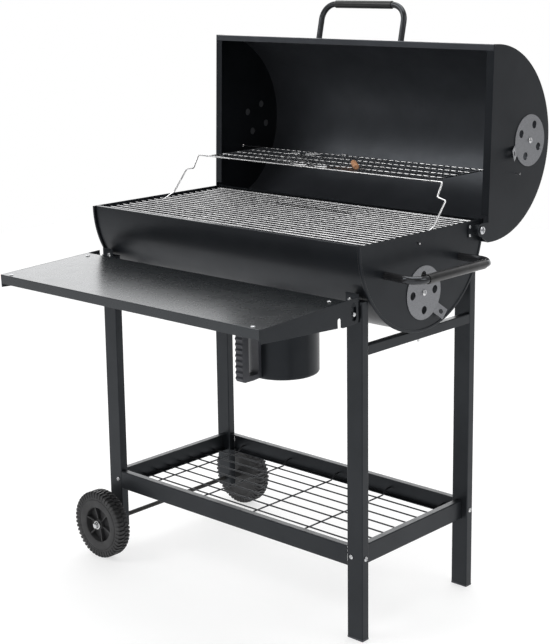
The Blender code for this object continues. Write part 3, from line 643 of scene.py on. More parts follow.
# ---------------------------------------------------------------- trolley
def add_legs():
    radius = 2.2 * MM
    for side_name, side in SIDES:
        for end_name, _ in ENDS:
            name = f"leg_{end_name}_{side_name}"
            low, high = node_box(name)
            outer = rounded_rectangle(low, high, radius)
            inner = rounded_rectangle((low.x + TUBE_WALL, low.y + TUBE_WALL),
                                      (high.x - TUBE_WALL, high.y - TUBE_WALL), radius - TUBE_WALL * 0.8)
            leg = cut(prism(outer, "Z", low.z, high.z), prism(inner, "Z", low.z - 0.01, high.z - TUBE_WALL))
            if side < 0:
                bore = lathe([(0.0, -0.3), (5.3 * MM, -0.3), (5.3 * MM, 0.3), (0.0, 0.3)], "Y", AXLE, 32)
                leg = cut(leg, bore)
            piece(name, leg, "frame", "frame", bevel=0.35 * MM, sharp=50.0)


def add_rails():
    """Shelf rails as bent channels and the crossbars under the barrel as bent angles."""
    for end_name, end in ENDS:
        name = f"shelf_rail_{end_name}"
        low, high = node_box(name)
        outer, inner = (low.y, high.y) if end < 0 else (high.y, low.y)
        section = channel_section(outer, inner, low.z, high.z)
        piece(name, prism(section, "X", low.x, high.x), "frame", "frame", bevel=0.3 * MM, sharp=50.0)
    for side_name, side in SIDES:
        name = f"shelf_rail_{side_name}"
        low, high = node_box(name)
        outer, inner = (low.x, high.x) if side < 0 else (high.x, low.x)
        section = channel_section(outer, inner, low.z, high.z)
        piece(name, prism(section, "Y", low.y, high.y), "frame", "frame", bevel=0.3 * MM, sharp=50.0)
        name = f"crossbar_{side_name}"
        low, high = node_box(name)
        outer, inner = (low.x, high.x) if side < 0 else (high.x, low.x)
        line = rounded_flat([(outer, low.z), (outer, high.z), (inner, high.z)], 2.2 * MM)
        piece(name, prism(strip(line, TUBE_WALL * inward(line)), "Y", low.y, high.y), "frame", "frame",
              bevel=0.3 * MM, sharp=50.0)


def inward(line):
    """+1 or -1: the side of a bent line on which its bends have their centres."""
    before, corner, after = Vector(line[0]), Vector(line[len(line) // 2]), Vector(line[-1])
    first, second = corner - before, after - corner
    return 1.0 if first.x * second.y - first.y * second.x > 0.0 else -1.0


def channel_section(outer, inner, bottom, top):
    line = rounded_flat([(inner, bottom), (outer, bottom), (outer, top), (inner, top)], 2.4 * MM)
    return strip(line, TUBE_WALL * inward(line))


def add_shelf_grid():
    low, high = node_box("shelf_grid")
    radius = 1.75 * MM
    pitch_y = 38.5 * MM
    pitch_x = 153.0 * MM
    long_z = 162.5 * MM
    cross_z = low.z + radius
    hook_z = high.z - radius
    wires = []
    for i in range(8):
        y = (i - 3.5) * pitch_y
        wires.append(tube([(low.x, y, long_z), (high.x, y, long_z)], radius, 14))
    for i in range(5):
        x = (i - 2) * pitch_x
        path = rounded([(x, low.y, hook_z), (x, -0.176, hook_z), (x, -0.160, cross_z), (x, 0.160, cross_z),
                        (x, 0.176, hook_z), (x, high.y, hook_z)], 6.0 * MM, 6)
        wires.append(tube(path, radius, 14))
    piece("shelf_grid", together(*wires), "shelf", "frame")


def wheel_shape():
    """A moulded wheel on +Y: flanged hub, six fins in the dished web, and a lugged tread."""
    inner, outer = WHEEL_LOW.y, WHEEL_HIGH.y
    side_in = 216.5 * MM
    tread = WHEEL_RADIUS - 3.0 * MM
    bore = 5.4 * MM
    web = outer - 15.0 * MM
    profile = [(bore, inner), (9.5 * MM, inner), (9.5 * MM, side_in + 3 * MM),
               (40 * MM, side_in + 6 * MM), (56 * MM, side_in + 3 * MM), (58 * MM, side_in + 1 * MM),
               (tread - 4 * MM, side_in + 1 * MM), (tread - 1.2 * MM, side_in + 2.2 * MM),
               (tread, side_in + 5 * MM), (tread, outer - 5 * MM), (tread - 1.2 * MM, outer - 2.2 * MM),
               (tread - 4 * MM, outer - 1.2 * MM), (61.5 * MM, outer - 1.0 * MM),
               (60.6 * MM, outer - 2.0 * MM), (59.6 * MM, outer - 2.0 * MM), (58.8 * MM, outer - 0.8 * MM),
               (55.0 * MM, outer - 0.4 * MM), (43.0 * MM, outer - 1.4 * MM), (40.5 * MM, outer - 3.0 * MM),
               (38.5 * MM, web), (15.0 * MM, web + 1.0 * MM), (12.5 * MM, web + 2.0 * MM),
               (11.8 * MM, outer - 5.0 * MM), (10.5 * MM, outer - 3.6 * MM), (bore, outer - 3.6 * MM), ]
    parts = [lathe(profile, "Y", AXLE, 96)]
    for i in range(6):
        angle = math.tau * (i + 0.25) / 6.0
        fin = prism([(10.5 * MM, web - 1 * MM), (39.8 * MM, web - 1 * MM), (39.8 * MM, outer - 3.5 * MM),
                     (26.0 * MM, outer - 6.0 * MM), (10.5 * MM, outer - 6.5 * MM)], "Z", -1.5 * MM, 1.5 * MM)
        bmesh.ops.translate(fin, verts=fin.verts, vec=(AXLE.x, 0.0, AXLE.z))
        parts.append(turned(fin, AXLE, angle, "Y"))
    parts += tread_lugs(side_in, outer, tread)
    return together(*parts)


def tread_lugs(side_in, outer, tread):
    """Two rows of staggered blocks that wrap from the tread onto the side faces."""
    count = 48
    middle = (side_in + outer) / 2.0
    half_angle = math.tau / count * 0.29
    lugs = []
    for row, face, way in ((0, outer, 1.0), (1, side_in, -1.0)):
        across = [(63.5 * MM, face - way * 1.6 * MM), (64.5 * MM, face), (WHEEL_RADIUS - 3.5 * MM, face),
                  (WHEEL_RADIUS - 0.8 * MM, face - way * 1.6 * MM), (WHEEL_RADIUS, face - way * 4.0 * MM),
                  (WHEEL_RADIUS, middle + way * 1.2 * MM), (tread - 1.0 * MM, middle + way * 0.4 * MM),
                  (tread - 1.0 * MM, face - way * 5.0 * MM), (tread - 5.0 * MM, face - way * 2.6 * MM)]
        for i in range(count):
            angle = math.tau * (i + row * 0.5) / count
            lug = bmesh.new()
            rings = []
            for side in (-1.0, 1.0):
                ring = []
                for radius, y in across:
                    turn = angle + side * half_angle * (1.0 if radius < tread else 0.82)
                    ring.append(lug.verts.new((AXLE.x + radius * math.cos(turn), y,
                                               AXLE.z + radius * math.sin(turn))))
                rings.append(ring)
            lug.faces.new(rings[0])
            lug.faces.new(rings[1])
            for a in range(len(across)):
                b = (a + 1) % len(across)
                lug.faces.new((rings[0][a], rings[0][b], rings[1][b], rings[1][a]))
            bmesh.ops.recalc_face_normals(lug, faces=lug.faces)
            lugs.append(lug)
    return lugs


def add_wheels():
    for end_name, end in ENDS:
        piece(f"wheel_{end_name}", flip(wheel_shape(), "Y", end), "tyre", f"wheel_{end_name}",
              bevel=0.35 * MM, sharp=28.0)
        start = AXLE_HALF + GAP
        high = node_box("wheel_cap_rear")[1].y
        low = node_box("wheel_cap_rear")[0].y
        cap = lathe([(5.4 * MM, low), (10.0 * MM, low), (9.6 * MM, low + 1.0 * MM),
                     (7.6 * MM, low + 1.6 * MM), (6.6 * MM, start), (6.0 * MM, high - 1.4 * MM),
                     (4.0 * MM, high - 0.4 * MM), (0.0, high), (0.0, start), (5.4 * MM, start)], "Y", AXLE,
                    48)
        piece(f"wheel_cap_{end_name}", flip(cap, "Y", end), "zinc", "frame", sharp=40.0)
    radius = 5.0 * MM
    rod = tube([AXLE - Vector((0, AXLE_HALF, 0)), AXLE + Vector((0, AXLE_HALF, 0))], radius, 40)
    piece("axle", rod, "soot", "frame")


def add_leg_bolts():
    """Pan-head bolts that hold the shelf rails to the legs, and a stud with its nut under each crossbar."""
    heads = []
    middle_y = LEG_Y - 10.0 * MM
    front_x = LEG_X - 29.0 * MM
    for _, side in SIDES:
        for _, end in ENDS:
            heads.append(aimed(pan_head(5.0 * MM, 2.6 * MM), (side * LEG_X, end * middle_y, RAIL_BOLT_Z),
                               (side, 0, 0)))
            heads.append(aimed(pan_head(4.6 * MM, 2.4 * MM), (side * front_x, -end * LEG_Y, RAIL_BOLT_Z),
                               (0, -end, 0)))
    piece("leg_bolts", together(*heads), "zinc", "frame", sharp=35.0)
    studs = []
    for _, side in SIDES:
        foot = Vector((side * 0.3735, 0.0, 0.5885))
        top = Vector((side * 0.3735, 0.0, 0.6142))
        nut = aimed(hex_head(8.0 * MM, 3.6 * MM), top, (0, 0, -1))
        studs += [tube([foot, top], 2.4 * MM, 20), nut]
    piece("crossbar_bolts", together(*studs), "zinc", "frame", sharp=35.0)


# ---------------------------------------------------------------- firebox
def add_firebox_shell():
    """The rolled lower half of the barrel, its straight rims bent inwards."""
    axis = (0.0, BARREL_Z)
    bend = 1.8 * MM
    start = math.degrees(math.asin(bend / (BARREL_RADIUS - bend)))
    line = [(-BARREL_RADIUS + RIM_FLANGE, BARREL_Z)]
    line += arc((-BARREL_RADIUS + bend, BARREL_Z - bend), bend, 90.0, 180.0, 6)
    line += arc(axis, BARREL_RADIUS, 180.0 + start, 360.0 - start, ARC_STEPS)
    line += arc((BARREL_RADIUS - bend, BARREL_Z - bend), bend, 0.0, 90.0, 6)
    line.append((BARREL_RADIUS - RIM_FLANGE, BARREL_Z))
    shell = prism(strip(line, SHEET * inward(line)), "X", -BARREL_HALF, BARREL_HALF)
    hole = lathe([(0.0, 0.59), (ASH_HOLE_RADIUS, 0.59), (ASH_HOLE_RADIUS, 0.68), (0.0, 0.68)],
                 "Z", (0.0, 0.0, 0.0), 64)
    piece("firebox_shell", cut(shell, hole), "satin", "frame", bevel=0.3 * MM, sharp=50.0)


def vent_cutters(centre, tab_angle, low, high):
    """Cylinders for the four air holes, which lie between the vent's tab and the next quarter turns."""
    cutters = []
    for i in range(4):
        angle = math.radians(tab_angle + 45.0 + 90.0 * i)
        spot = (0.0, centre[0] + VENT_HOLE_CIRCLE * math.cos(angle),
                centre[1] + VENT_HOLE_CIRCLE * math.sin(angle))
        cutters.append(lathe([(0.0, low), (VENT_HOLE_RADIUS, low), (VENT_HOLE_RADIUS, high), (0.0, high)],
                             "X", spot, 40))
    return cutters


def add_firebox_ends():
    """Half-round end plates with a rolled bead that clasps the shell."""
    axis = (0.0, 0.0, BARREL_Z)
    inner = BARREL_RADIUS + GAP
    lip_in = BARREL_HALF + 0.5 * MM
    lip_out = END_OUT + 1.5 * MM
    profile = [(0.0, END_IN), (inner, END_IN), (inner, lip_in)]
    profile += [(BEAD_RADIUS - 1.6 * MM, lip_in)]
    profile += arc((BEAD_RADIUS - 1.6 * MM, lip_in + 1.6 * MM), 1.6 * MM, -90.0, 0.0, 5)
    profile += arc((BEAD_RADIUS - 1.9 * MM, lip_out - 1.9 * MM), 1.9 * MM, 0.0, 90.0, 5)
    profile += arc((inner - 0.4 * MM, lip_out - 1.5 * MM), 1.5 * MM, 90.0, 180.0, 5)
    profile += [(0.0, END_OUT)]
    pivot_y, pivot_z = joint_place("rack_leg_right_swing").yz
    for side_name, side in SIDES:
        plate = lathe(profile, "X", axis, ARC_STEPS, start=180.0, sweep=180.0)
        cutters = vent_cutters(VENT_CENTRE, VENT_TAB_ANGLE, END_IN - 0.01, END_OUT + 0.01)
        cutters.append(lathe([(0.0, 0.37), (2.6 * MM, 0.37), (2.6 * MM, 0.40), (0.0, 0.40)], "X",
                             (0.0, pivot_y, pivot_z), 20))
        plate = cut(plate, *cutters)
        name = f"firebox_end_{side_name}"
        piece(name, flip(plate, "X", side), "satin", "frame", bevel=0.25 * MM, sharp=50.0)


def vent_disc(face, centre, tab_angle):
    """A round damper plate with a folded tab to turn it by."""
    low = face + GAP
    plate = lathe([(0.0, low), (VENT_RADIUS, low), (VENT_RADIUS, low + SHEET), (0.0, low + SHEET)], "X",
                  (0.0, *centre), 96)
    half_width = 12.0 * MM
    line = rounded_flat([(50.0 * MM, low), (57.0 * MM, low), (80.0 * MM, low + 10.0 * MM)], 5.0 * MM, 6)
    section = strip(line, SHEET)
    tab = bmesh.new()
    rings = []
    for across in (-half_width, half_width):
        rings.append([tab.verts.new((out, radius, across)) for radius, out in section])
    tab.faces.new(rings[0])
    tab.faces.new(rings[1])
    for i in range(len(section)):
        j = (i + 1) % len(section)
        tab.faces.new((rings[0][i], rings[0][j], rings[1][j], rings[1][i]))
    bmesh.ops.recalc_face_normals(tab, faces=tab.faces)
    hole = lathe([(0.0, low - 0.01), (5.0 * MM, low - 0.01), (5.0 * MM, low + 0.03), (0.0, low + 0.03)], "X",
                 (0.0, 69.0 * MM, 0.0), 32)
    tab = turned(cut(tab, hole), (0.0, 0.0, 0.0), math.radians(tab_angle))
    bmesh.ops.translate(tab, verts=tab.verts, vec=(0.0, centre[0], centre[1]))
    return cut(joined(plate, tab), *vent_cutters(centre, tab_angle, low - 0.01, low + 0.01))


def add_vent(name, face, centre, tab_angle, side, opener=None):
    low = face + GAP + SHEET
    disc = flip(vent_disc(face, centre, tab_angle), "X", side)
    head = aimed(pan_head(6.2 * MM, 3.2 * MM), (low + GAP, *centre), (1, 0, 0))
    shank = lathe([(0.0, face + GAP), (2.9 * MM, face + GAP), (2.9 * MM, low + 1.2 * MM),
                   (0.0, low + 1.2 * MM)], "X", (0.0, *centre), 24)
    head = flip(together(head, shank), "X", side)
    owner = name.split("_")[0]
    node = f"{owner}_vent_{'left' if side < 0 else 'right'}"
    screw = node.replace("vent_", "vent_screw_")
    if opener:
        disc, head = opener(disc), opener(head)
    piece(node, disc, "vent", node, bevel=0.3 * MM, sharp=40.0)
    piece(screw, head, "zinc", "lid" if owner == "lid" else "frame", sharp=35.0)


def add_side_handle():
    radius = 8.0 * MM
    bar = node_box("side_handle")[1].x - radius
    foot_x = END_OUT + GAP
    foot_y, foot_z = 0.123, 0.747
    bar_y, bar_z = 0.130, 0.746
    path = rounded([(foot_x, -foot_y, foot_z), (foot_x + 0.012, -foot_y, foot_z), (bar, -bar_y, bar_z),
                    (bar, bar_y, bar_z), (foot_x + 0.012, foot_y, foot_z), (foot_x, foot_y, foot_z)], 0.030,
                   14)
    piece("side_handle", tube(path, radius, 32, blunt=False), "gloss", "frame")
    profile = sleeve_profile(8.8 * MM, 9.8 * MM, 94.0 * MM)
    piece("side_handle_grip", lathe(profile, "Y", (bar, 0.0, bar_z), 48), "sleeve", "frame")


def sleeve_profile(inner, outer, half):
    """A slipped-on sleeve with soft rolled ends."""
    roll = (outer - inner) * 0.8
    return ([(inner, -half)] + arc((outer - roll, -half + roll), roll, -90.0, 0.0, 5)
            + arc((outer - roll, half - roll), roll, 0.0, 90.0, 5) + [(inner, half)])


def add_hinge_brackets():
    """A plate with a round boss on each firebox end, its screws, and the bolt that the lid turns on."""
    face = END_OUT + 2.3 * MM
    centre = (0.0, HINGE.y, HINGE.z)
    for side_name, side in SIDES:
        name = f"hinge_bracket_{side_name}"
        outline = rounded_rectangle((0.150, 0.782), (0.1885, 0.810), 3.0 * MM)
        plate = prism(outline, "X", END_OUT + GAP, face)
        boss = lathe([(4.5 * MM, face - 0.8 * MM), (11.5 * MM, face - 0.8 * MM),
                      (11.5 * MM, LID_HALF - 1.2 * MM), (10.6 * MM, LID_HALF - GAP),
                      (4.5 * MM, LID_HALF - GAP)], "X", centre, 48)
        piece(name, flip(joined(plate, boss), "X", side), "frame", "frame", bevel=0.3 * MM, sharp=40.0)
        name = f"hinge_bolt_{side_name}"
        head_low = LID_HALF + 2.4 * MM
        shank = lathe([(0.0, face + GAP), (4.0 * MM, face + GAP), (4.0 * MM, head_low + 0.3 * MM),
                       (0.0, head_low + 0.3 * MM)], "X", centre, 32)
        head = aimed(pan_head(8.4 * MM, 5.0 * MM), (head_low, HINGE.y, HINGE.z), (1, 0, 0))
        piece(name, flip(together(shank, head), "X", side), "zinc", "frame", sharp=35.0)
    screws = []
    for _, side in SIDES:
        for y, z in ((0.1545, 0.787), (0.1545, 0.805)):
            screws.append(aimed(pan_head(3.2 * MM, 1.8 * MM), (side * face, y, z), (side, 0, 0)))
    piece("bracket_screws", together(*screws), "zinc", "frame", sharp=35.0)


# ---------------------------------------------------------------- ash pot
def add_ash_parts():
    collar_low, collar_high = node_box("ash_collar")
    outer = collar_high.x
    inner = outer - SHEET
    collar = lathe([(inner, collar_low.z), (outer, collar_low.z), (outer, 0.665), (inner, 0.665)], "Z",
                   (0.0, 0.0, 0.0), 96)
    barrel = lathe([(0.0, -0.2), (BARREL_RADIUS + GAP, -0.2), (BARREL_RADIUS + GAP, 0.2), (0.0, 0.2)], "X",
                   (0.0, 0.0, BARREL_Z), 192)
    piece("ash_collar", cut(collar, barrel), "satin", "frame", bevel=0.3 * MM, sharp=50.0)
    base, top = POT_LOW.z, POT_HIGH.z
    corner = 7.0 * MM
    line = [(0.0, base)] + arc((POT_RADIUS - corner, base + corner), corner, -90.0, 0.0, 8)
    line.append((POT_RADIUS, top))
    wall = [(0.0, base + SHEET)] + arc((POT_RADIUS - corner, base + corner), corner - SHEET, -90.0, 0.0, 8)
    wall.append((POT_RADIUS - SHEET, top))
    pot = lathe(line + list(reversed(wall)), "Z", (0.0, 0.0, 0.0), 128)
    piece("ash_pot", pot, "satin", "ash_pot", bevel=0.35 * MM, sharp=50.0)
    handle = prism(pot_handle_outline(), "X", -10.5 * MM, 10.5 * MM, [pot_handle_gap()])
    piece("ash_pot_handle", handle, "plastic", "ash_pot", bevel=1.0 * MM, steps=3, sharp=24.0)
    rivets = []
    for z in (0.472, 0.584):
        rivets.append(aimed(pan_head(3.4 * MM, 1.6 * MM), (0.0, -POT_RADIUS + SHEET, z), (0, 1, 0)))
    piece("ash_pot_rivets", together(*rivets), "zinc", "ash_pot", sharp=35.0)


def pot_handle_outline():
    """The D shape seen from the side, with ribs along the grip."""
    back = -POT_RADIUS - 0.8 * MM
    front = node_box("ash_pot_handle")[0].y
    pitch = 12.5 * MM
    outline = [(back, 0.464), (-0.105, 0.462), (front + 0.009, 0.4622), (front + 0.004, 0.464)]
    for i in range(9):
        z = 0.468 + i * pitch
        outline += arc((front + 3.0 * MM, z + 3.5 * MM), 3.0 * MM, 228.0, 132.0, 4)
        outline += [(front + 2.4 * MM, z + 8.0 * MM), (front + 2.4 * MM, z + 11.0 * MM)]
    outline += [(front + 0.003, 0.584), (-0.130, 0.590), (-0.100, 0.5895), (back, 0.582)]
    return outline


def pot_handle_gap():
    return list(reversed(rounded_rectangle((-0.1205, 0.474), (-0.0905, 0.574), 7.0 * MM, 6)))


# ---------------------------------------------------------------- lid
def add_lid_shell():
    """The rolled lid with its front edge folded inwards."""
    lip = 13.0 * MM
    bend = 1.8 * MM
    line = [(-LID_RADIUS + lip, LID_RIM_Z)]
    line += arc((-LID_RADIUS + bend, LID_RIM_Z + bend), bend, 270.0, 180.0, 6)
    line += arc(LID_CENTRE, LID_RADIUS, 180.0, 0.0, ARC_STEPS)
    line.append((LID_RADIUS, LID_RIM_Z))
    shell = prism(strip(line, SHEET * inward(line)), "X", -LID_HALF, LID_HALF)
    # The lid shell takes the lighter inside paint, painted light for its shaded inner face.
    piece("lid_shell", opened(shell), "inside_painted_light", "lid", bevel=0.3 * MM, sharp=50.0)


def closed_lid_point(y, z):
    """Where a point that is on the open lid lies in the closed lid's space."""
    back = Matrix.Rotation(LID_OPEN, 3, "X") @ Vector((0.0, y - HINGE.y, z - HINGE.z))
    return (HINGE.y + back.y, HINGE.z + back.z)


def add_lid_ends():
    edge = LID_RADIUS + 0.4 * MM
    tab = 14.0 * MM
    outline = arc(LID_CENTRE, edge, 0.0, 180.0, ARC_STEPS)
    outline += [(-edge, LID_RIM_Z), (HINGE.y - tab, LID_RIM_Z)]
    outline += list(reversed(arc((HINGE.y, HINGE.z), tab, 0.0, -180.0, 20)))
    outline += [(edge, LID_RIM_Z)]
    low, high = LID_HALF + GAP, LID_HALF + 1.8 * MM
    out, rim = high - 0.1 * MM, LID_RIM_Z + 0.1 * MM
    for side_name, side in SIDES:
        plate = prism(outline, "X", low, high)
        line = rounded_flat([(out, 0.832), (out, rim), (LID_HALF - 16.5 * MM, rim)], 2.0 * MM)
        cutters = vent_cutters(LID_VENT_CENTRE, LID_VENT_TAB_ANGLE, low - 0.01, high + 0.01)
        rack_hole = closed_lid_point(RACK_HIGH.y, RACK_Z)
        for (y, z), radius in ((tuple(HINGE.yz), 4.5 * MM), (rack_hole, 2.6 * MM)):
            cutters.append(lathe([(0.0, 0.39), (radius, 0.39), (radius, 0.41), (0.0, 0.41)], "X",
                                 (0.0, y, z), 24))
        flange = prism(strip(line, SHEET * inward(line)), "Y", -0.1912, 0.150)
        plate = joined(cut(plate, *cutters), flange)
        name = f"lid_end_{side_name}"
        piece(name, opened(flip(plate, "X", side)), "satin", "lid", bevel=0.25 * MM, sharp=50.0)


def add_lid_handle():
    tilt = math.radians(11.0)
    half = 0.119
    bar = 0.2866
    radius = 7.0 * MM

    def spot(x, reach):
        return (x, -reach * math.cos(tilt), LID_CENTRE[1] + reach * math.sin(tilt))

    path = rounded([spot(-half, LID_RADIUS + GAP), spot(-half, bar), spot(half, bar),
                    spot(half, LID_RADIUS + GAP)], 0.036, 16)
    piece("lid_handle", opened(tube(path, radius, 32, blunt=False)), "gloss", "lid")
    grip = lathe(sleeve_profile(7.8 * MM, 9.0 * MM, 81.0 * MM), "X", spot(0.0, bar), 48)
    piece("lid_handle_grip", opened(grip), "sleeve", "lid")
    heads = []
    way = Vector((0.0, math.cos(tilt), -math.sin(tilt)))
    for x in (-half, half):
        heads.append(aimed(pan_head(5.0 * MM, 2.4 * MM), spot(x, LID_RADIUS - SHEET), way))
    piece("lid_handle_screws", opened(together(*heads)), "zinc", "lid", sharp=35.0)


# ---------------------------------------------------------------- grates and rack
def add_grates():
    """Three welded grates: rods along X on bars along Y, with a lift-out insert in the middle one."""
    rod_z = GRATE_TOP - GRATE_ROD
    bar_z = rod_z - 1.75 * GRATE_ROD
    for name in ("left", "middle", "right"):
        low, high = node_box(f"grate_{name}")
        bars = [low.x + 0.012, high.x - 0.012]
        if name == "middle":
            bars = [low.x + 0.008, 0.0, high.x - 0.008]
        wires = []
        for x in bars:
            wires.append(tube([(x, -GRATE_DEPTH + 0.001, bar_z), (x, GRATE_DEPTH - 0.001, bar_z)],
                              GRATE_ROD, 14))
        edge = GRATE_DEPTH - GRATE_ROD
        rows = [(i - (GRATE_COUNT - 1) / 2.0) * GRATE_PITCH for i in range(GRATE_COUNT)]
        for y in [-edge] + rows + [edge]:
            wires.append(tube([(low.x, y, rod_z), (high.x, y, rod_z)], GRATE_ROD, 14))
        if name == "middle":
            wires += insert_wires(bars, rod_z, bar_z)
        piece(f"grate_{name}", together(*wires), "grate", f"grate_{name}")


def insert_wires(bars, rod_z, bar_z):
    """The insert's heavier rear rod and the curled front ends of its bars."""
    wires = [tube([(bars[0] + 0.004, 0.1045, rod_z), (bars[-1] - 0.004, 0.1045, rod_z)], GRATE_ROD, 14)]
    for x in bars:
        start = -0.152
        path = rounded([(x + 0.0055, -0.120, bar_z), (x + 0.0055, start, bar_z),
                        (x + 0.0115, start, bar_z), (x + 0.0115, -0.140, bar_z)], 2.6 * MM, 6)
        wires.append(tube(path, GRATE_ROD * 0.8, 12))
    return wires


def add_coal_grate():
    low, high = node_box("charcoal_grate")
    radius = 2.0 * MM
    rod_z = high.z - radius
    bar_z = low.z + radius
    wires = []
    rows = 19
    for i in range(rows):
        y = (2.0 * i / (rows - 1) - 1.0) * (high.y - radius)
        wires.append(tube([(low.x, y, rod_z), (high.x, y, rod_z)], radius, 12))
    for x in (-0.340, -0.115, 0.115, 0.340):
        wires.append(tube([(x, low.y, bar_z), (x, high.y, bar_z)], radius, 12))
    piece("charcoal_grate", together(*wires), "soot", "frame")


def add_warming_rack():
    """Short wires front to rear, welded on five long ones. The rear one is also the pivot in the lid."""
    radius = 1.6 * MM
    half = RACK_HALF
    front, rear = RACK_LOW.y + radius, RACK_HIGH.y - radius
    long_z = RACK_Z - 0.1 * MM
    wires = []
    for i in range(5):
        y = front + (rear - front) * i / 4.0
        reach = RACK_HIGH.x if i == 4 else half + radius
        wires.append(tube([(-reach, y, long_z), (reach, y, long_z)], radius, 14))
    count = 38
    for i in range(count):
        x = (2.0 * i / (count - 1) - 1.0) * half
        path = rounded([(x, front - 0.4 * MM, RACK_Z - 0.1 * MM), (x, front + 3.0 * MM, RACK_Z + 0.1 * MM),
                        (x, rear, RACK_Z + 0.1 * MM)], 1.0 * MM, 3)
        wires.append(tube(path, radius * 0.9, 12))
    piece("warming_rack", together(*wires), "chrome", "warming_rack")


def add_rack_legs():
    pivot_y, pivot_z = joint_place("rack_leg_right_swing").yz
    wire_x, bend_x = 379.5 * MM, 357.0 * MM
    front = 100.0 * MM
    radius = 2.0 * MM
    for side_name, side in SIDES:
        path = rounded([(0.392, pivot_y, pivot_z), (wire_x, pivot_y, pivot_z), (wire_x, 0.039, 0.819),
                        (wire_x, 0.081, 0.868), (bend_x, 0.083, 0.873), (bend_x, front, RACK_Z),
                        (RACK_HALF + 3.5 * MM, front, RACK_Z), ], 0.004, 8)
        name = f"rack_leg_{side_name}"
        piece(name, flip(tube(path, radius, 20), "X", side), "chrome", name)


def add_grate_lifter():
    """The lifting tool on the rack: a turned wooden grip on a hooked shank, and two loose wire loops."""
    top = RACK_HIGH.z
    centre = 7.1 * MM
    profile = [(0.0, 0.0), (4.6 * MM, 0.0), (6.0 * MM, 1.2 * MM), (6.7 * MM, 4.0 * MM), (6.5 * MM, 20.0 * MM),
               (6.8 * MM, 40.0 * MM), (6.6 * MM, 64.0 * MM), (6.0 * MM, 70.0 * MM), (4.2 * MM, 74.0 * MM),
               (0.0, 74.0 * MM)]
    grip = lathe(profile, "X", (0.0, 0.0, centre), 48)
    low = 2.6 * MM
    shank = tube(rounded([(0.068, 0.0, centre - 0.2 * MM), (0.236, 0.0, low), (0.246, 0.010, low)], 0.004, 6),
                 2.0 * MM, 16)
    for name, shape, finish, nodes in (("grate_lifter_grip", grip, "wood", ["grate_lifter"]),
                                       ("grate_lifter_wire", shank, "chrome", [])):
        shape = turned(shape, (0.0, 0.0, 0.0), TOOL_ANGLE, "Z")
        bmesh.ops.translate(shape, verts=shape.verts, vec=(*TOOL_END, top))
        piece(name, shape, finish, "grate_lifter", replaces=nodes)
    radius = 1.5 * MM
    z = top + radius + GAP
    for i, corners in enumerate(LOOPS):
        path = [(x, y, z) for x, y in corners]
        middle = (Vector(path[0]) + Vector(path[-1])) / 2.0
        loop = tube(rounded([middle, *path, middle], 5.0 * MM, 6), radius, 14)
        piece(f"wire_loop_{i + 1}", loop, "chrome", "grate_lifter")


# ---------------------------------------------------------------- folding table
def add_table():
    """A folded sheet top with a front apron, a rear lip, and two riveted side plates."""
    y0, z0 = TABLE_AXIS.y, TABLE_AXIS.z
    top = z0 + TABLE_SURFACE
    front, rear = y0 + TABLE_FRONT, y0 + TABLE_REAR
    line = rounded_flat([(rear, top - 0.010), (rear, top), (front, top), (front, top - 0.020)], 1.6 * MM)
    sheet = prism(strip(line, SHEET * inward(line)), "X", -TABLE_HALF, TABLE_HALF)
    piece("table_top", tilted(sheet), "table", "table", bevel=0.3 * MM, sharp=50.0)
    arm_in, arm_out = TABLE_HALF + GAP, TABLE_HALF + 2.3 * MM
    for side_name, side in SIDES:
        name = f"table_arm_{side_name}"
        slot_low, slot_high, slot_half = -6.0 * MM, 17.0 * MM, 7.0 * MM
        slot = arc((y0, z0 + slot_low), slot_half, 180.0, 360.0, 16)
        slot += arc((y0, z0 + slot_high), slot_half, 0.0, 180.0, 16)
        plate = prism([(y0 + y, z0 + z) for y, z in arm_outline()], "X", arm_in, arm_out, [slot])
        under = top - SHEET - 0.5 * MM
        flange = box((arm_in - 0.018, front + 0.003, under - SHEET), (arm_in + 0.001, rear - 0.003, under))
        piece(name, tilted(flip(joined(plate, flange), "X", side)), "satin", "table", bevel=0.3 * MM,
              sharp=50.0)
    heads = []
    screw_x = TABLE_HALF - 23.0 * MM
    for _, side in SIDES:
        for y in (front + 9.0 * MM, rear - 22.0 * MM):
            heads.append(aimed(pan_head(4.4 * MM, 2.4 * MM), (side * screw_x, y, top), (0, 0, 1)))
    piece("table_screws", tilted(together(*heads)), "zinc", "table", sharp=35.0)


def arm_outline():
    """Side plate of the table, from its fold axis: shallow in front, deep at the rear, with a lock notch."""
    round_radius = 19.5 * MM
    rear = 13.0 * MM
    corner = math.degrees(math.acos(rear / round_radius))
    notch_front, notch_rear, notch_top = -48.5 * MM, -38.5 * MM, 2.5 * MM
    half = (notch_rear - notch_front) / 2.0
    outline = [(TABLE_FRONT, TABLE_SURFACE), (TABLE_FRONT, 4.5 * MM), (notch_front, -16.5 * MM)]
    outline += arc((notch_front + half, notch_top - half), half, 180.0, 0.0, 14)
    outline += [(notch_rear, -17.5 * MM), (notch_rear + 6.0 * MM, -round_radius)]
    outline += arc((0.0, 0.0), round_radius, -90.0, -corner, 12)
    outline += [(rear, TABLE_SURFACE)]
    return outline


